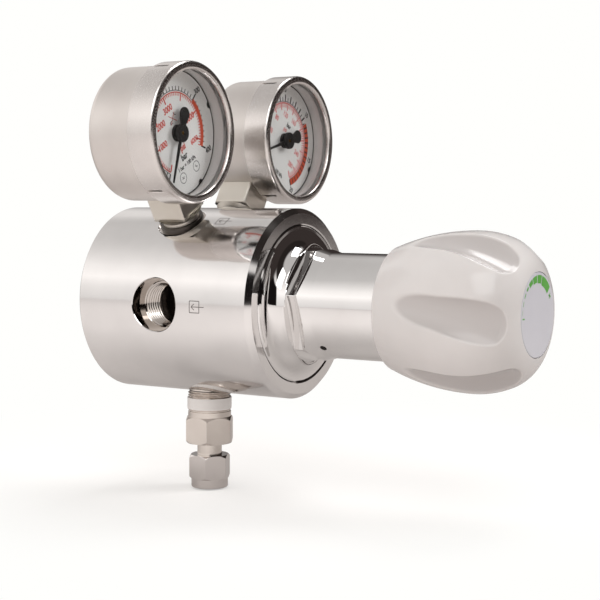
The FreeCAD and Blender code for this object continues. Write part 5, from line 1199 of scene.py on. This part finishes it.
def makeFloor():
    # white paper: near the object it takes shadow, and further out it glows as white as the
    # backdrop; every ray but the camera's sees a grey copy of the paper, painted shade, lifted by a
    # faint glow that fades to the right, painted light that the floor gives off though it is no lamp
    s = studio
    material = bpy.data.materials.new("studioPaper")
    material.use_nodes = True
    tree = material.node_tree
    tree.nodes.clear()
    path = addNode(tree, "ShaderNodeLightPath")
    looked = addNode(tree, "ShaderNodeMath", {"operation": "MAXIMUM"}, i0=(path, "Is Camera Ray"),
                     i1=(path, "Is Transmission Ray"))
    coords = addNode(tree, "ShaderNodeTexCoord")
    away = addNode(tree, "ShaderNodeVectorMath", {"operation": "DISTANCE", 1: (*s["middle"], s["floor"])},
                   i0=(coords, "Object"))
    fade = addNode(tree, "ShaderNodeMapRange",
                   {"interpolation_type": "SMOOTHSTEP", "From Min": 0.04, "From Max": 0.2,
                    "To Min": 0.4, "To Max": 1.0}, Value=(away, "Value"))
    across = addNode(tree, "ShaderNodeSeparateXYZ", {}, Vector=(coords, "Object"))
    # painted light: the floor's glow, strong on the left and faint on the right, a painted falloff across the
    # floor
    lift = addNode(tree, "ShaderNodeMapRange",
                   {"interpolation_type": "SMOOTHSTEP", "From Min": -0.14, "From Max": 0.05,
                    "To Min": 0.56, "To Max": 0.06}, Value=(across, "X"))
    # painted shade: all rays but the camera's see the paper in its darker grey
    tint = addNode(tree, "ShaderNodeMix",
                   {"data_type": "RGBA", 6: colour(s["paper"]), 7: colour(s["paperSeen"])},
                   i0=(looked, "Value"))
    paper = addNode(tree, "ShaderNodeBsdfDiffuse", {}, Color=(tint, 2))
    unseen = addNode(tree, "ShaderNodeMath", {"operation": "SUBTRACT", 0: 1.0}, i1=(looked, "Value"))
    strength = addNode(tree, "ShaderNodeMath", {"operation": "MULTIPLY"}, i0=(unseen, "Value"),
                       i1=(lift, "Result"))
    paintedGlow = addNode(tree, "ShaderNodeEmission", {"Color": colour(s["paintedGlow"])}, Strength=(strength, "Value"))
    lifted = addNode(tree, "ShaderNodeAddShader", {}, i0=(paper, "BSDF"), i1=(paintedGlow, "Emission"))
    glow = addNode(tree, "ShaderNodeEmission", {"Color": colour(s["white"]), "Strength": 1.0})
    share = addNode(tree, "ShaderNodeMath", {"operation": "MULTIPLY"}, i0=(looked, "Value"),
                    i1=(fade, "Result"))
    mixed = addNode(tree, "ShaderNodeMixShader", {}, i0=(share, "Value"), i1=(lifted, "Shader"),
                    i2=(glow, "Emission"))
    addNode(tree, "ShaderNodeOutputMaterial", {}, Surface=(mixed, "Shader"))
    mesh = bpy.data.meshes.new("studioFloor")
    corners = [(x, y, s["floor"]) for x, y in ((-4, -4), (4, -4), (4, 4), (-4, 4))]
    mesh.from_pydata(corners, [], [[0, 1, 2, 3]])
    mesh.materials.append(material)
    sheet = bpy.data.objects.new("studioFloor", mesh)
    scene.collection.objects.link(sheet)


def warmGrey(value):
    # a slightly warm grey of that strength, already linear
    return [value * 1.02, value * 0.985, value * 0.96, 1.0]


def makeWorld():
    # dome and wall by height, the cards laid over them one by one, and plain white for the camera
    s = studio
    world = bpy.data.worlds.new("studioWorld")
    scene.world = world
    world.use_nodes = True
    tree = world.node_tree
    tree.nodes.clear()
    coords = addNode(tree, "ShaderNodeTexCoord")
    split = addNode(tree, "ShaderNodeSeparateXYZ", {}, Vector=(coords, "Generated"))
    height = addNode(tree, "ShaderNodeMapRange", {"From Min": -1.0, "From Max": 1.0}, Value=(split, "Z"))
    dome, wall = (addNode(tree, "ShaderNodeValToRGB",
                          {"stops": [(at, warmGrey(value)) for at, value in s[key]]},
                          Fac=(height, "Result")) for key in ("dome", "wall"))
    leaning = addNode(tree, "ShaderNodeVectorMath", {"operation": "DOT_PRODUCT", 1: s["wallWay"]},
                      i0=(coords, "Generated"))
    towards = addNode(tree, "ShaderNodeMapRange",
                      {"interpolation_type": "SMOOTHSTEP", "From Min": -0.05, "From Max": 0.35},
                      Value=(leaning, "Value"))
    lit = addNode(tree, "ShaderNodeMix", {"data_type": "RGBA"}, i0=(towards, "Result"),
                  i6=(dome, "Color"), i7=(wall, "Color"))
    for card in cards.values():
        leaning = addNode(tree, "ShaderNodeVectorMath", {"operation": "DOT_PRODUCT", 1: card["way"]},
                          i0=(coords, "Generated"))
        # 1 where a direction leans far enough, is above the low edge and is below the high one
        inside = [addNode(tree, "ShaderNodeMapRange",
                          {"interpolation_type": "SMOOTHSTEP", "From Min": edge - soft,
                           "From Max": edge + soft, "To Min": 1.0 - to, "To Max": to}, Value=(node, output))
                  for node, output, edge, soft, to in (
                      (leaning, "Value", card["near"], card["soft"], 1.0),
                      (split, "Z", card["low"], card["edge"], 1.0),
                      (split, "Z", card["high"], card["edge"], 0.0))]
        band = addNode(tree, "ShaderNodeMath", {"operation": "MULTIPLY"}, i0=(inside[1], "Result"),
                       i1=(inside[2], "Result"))
        mask = addNode(tree, "ShaderNodeMath", {"operation": "MULTIPLY"}, i0=(inside[0], "Result"),
                       i1=(band, "Value"))
        lit = addNode(tree, "ShaderNodeMix", {"data_type": "RGBA", 7: colour(card["tint"])},
                      i0=(mask, "Value"), i6=(lit, 2))
    soft = addNode(tree, "ShaderNodeBackground", {"Strength": 1.0}, Color=(lit, 2))
    white = addNode(tree, "ShaderNodeBackground", {"Color": colour(s["white"]), "Strength": 1.0})
    path = addNode(tree, "ShaderNodeLightPath")
    looked = addNode(tree, "ShaderNodeMath", {"operation": "MAXIMUM"}, i0=(path, "Is Camera Ray"),
                     i1=(path, "Is Transmission Ray"))
    mixed = addNode(tree, "ShaderNodeMixShader", {}, i0=(looked, "Value"), i1=(soft, "Background"),
                    i2=(white, "Background"))
    addNode(tree, "ShaderNodeOutputWorld", {}, Surface=(mixed, "Shader"))


makeFloor()
makeWorld()
print("studio made")

lamps = {
    "keyBox": {"at": (-0.9, -0.7, 1.1), "size": 0.9, "power": 6.0},
    "fillBox": {"at": (0.9, -1.2, 0.7), "size": 0.8, "power": 15.0, "mirrored": False},
    "topBox": {"at": (0.45, -0.12, 1.1), "size": 0.5, "power": 5.0},
}


def makeLamps():
    # square soft boxes, all aimed at the middle of the barrel
    for name, s in lamps.items():
        data = bpy.data.lights.new(name, "AREA")
        data.shape = "SQUARE"
        data.size = s["size"]
        data.energy = s["power"]
        lamp = bpy.data.objects.new(name, data)
        lamp.visible_glossy = s.get("mirrored", True)
        scene.collection.objects.link(lamp)
        lamp.location = s["at"]
        lamp.rotation_mode = "QUATERNION"
        lamp.rotation_quaternion = (Vector(studio["aim"]) - Vector(s["at"])).to_track_quat("-Z", "Y")


makeLamps()

# the camera of the photograph: yaw round from the front, pitch down, roll, and where the origin lies
camera = {"lens": 84.0, "yaw": 1.01860826, "pitch": 0.0701875, "roll": 0.0032355,
          "shift": (-64.8874, -1.65375, 554.5934)}


def aimCamera():
    # the camera's three directions from yaw and pitch, turned by the roll, in the row's frame
    s = camera
    back = np.array([-math.sin(s["yaw"]) * math.cos(s["pitch"]), math.sin(s["pitch"]),
                     math.cos(s["yaw"]) * math.cos(s["pitch"])])
    right = np.cross(-back, [0.0, 1.0, 0.0])
    right /= np.linalg.norm(right)
    down = np.cross(-back, right)
    c, n = math.cos(s["roll"]), math.sin(s["roll"])
    right, down = c * right - n * down, n * right + c * down
    at = -np.array([right, down, -back]).T @ np.array(s["shift"])
    toRow = np.array([[1.0, 0, 0], [0, 0, -1], [0, 1, 0]])
    matrix = np.eye(4)
    matrix[:3, :3] = toRow @ np.array([right, -down, back]).T
    matrix[:3, 3] = toRow @ at * 0.001
    data = bpy.data.cameras.new("photoCamera")
    data.lens = s["lens"]
    data.sensor_width = 36.0
    data.clip_start = 0.01
    holder = bpy.data.objects.new("photoCamera", data)
    scene.collection.objects.link(holder)
    holder.matrix_world = Matrix(matrix.tolist())
    scene.camera = holder


aimCamera()
print("lamps and camera made")
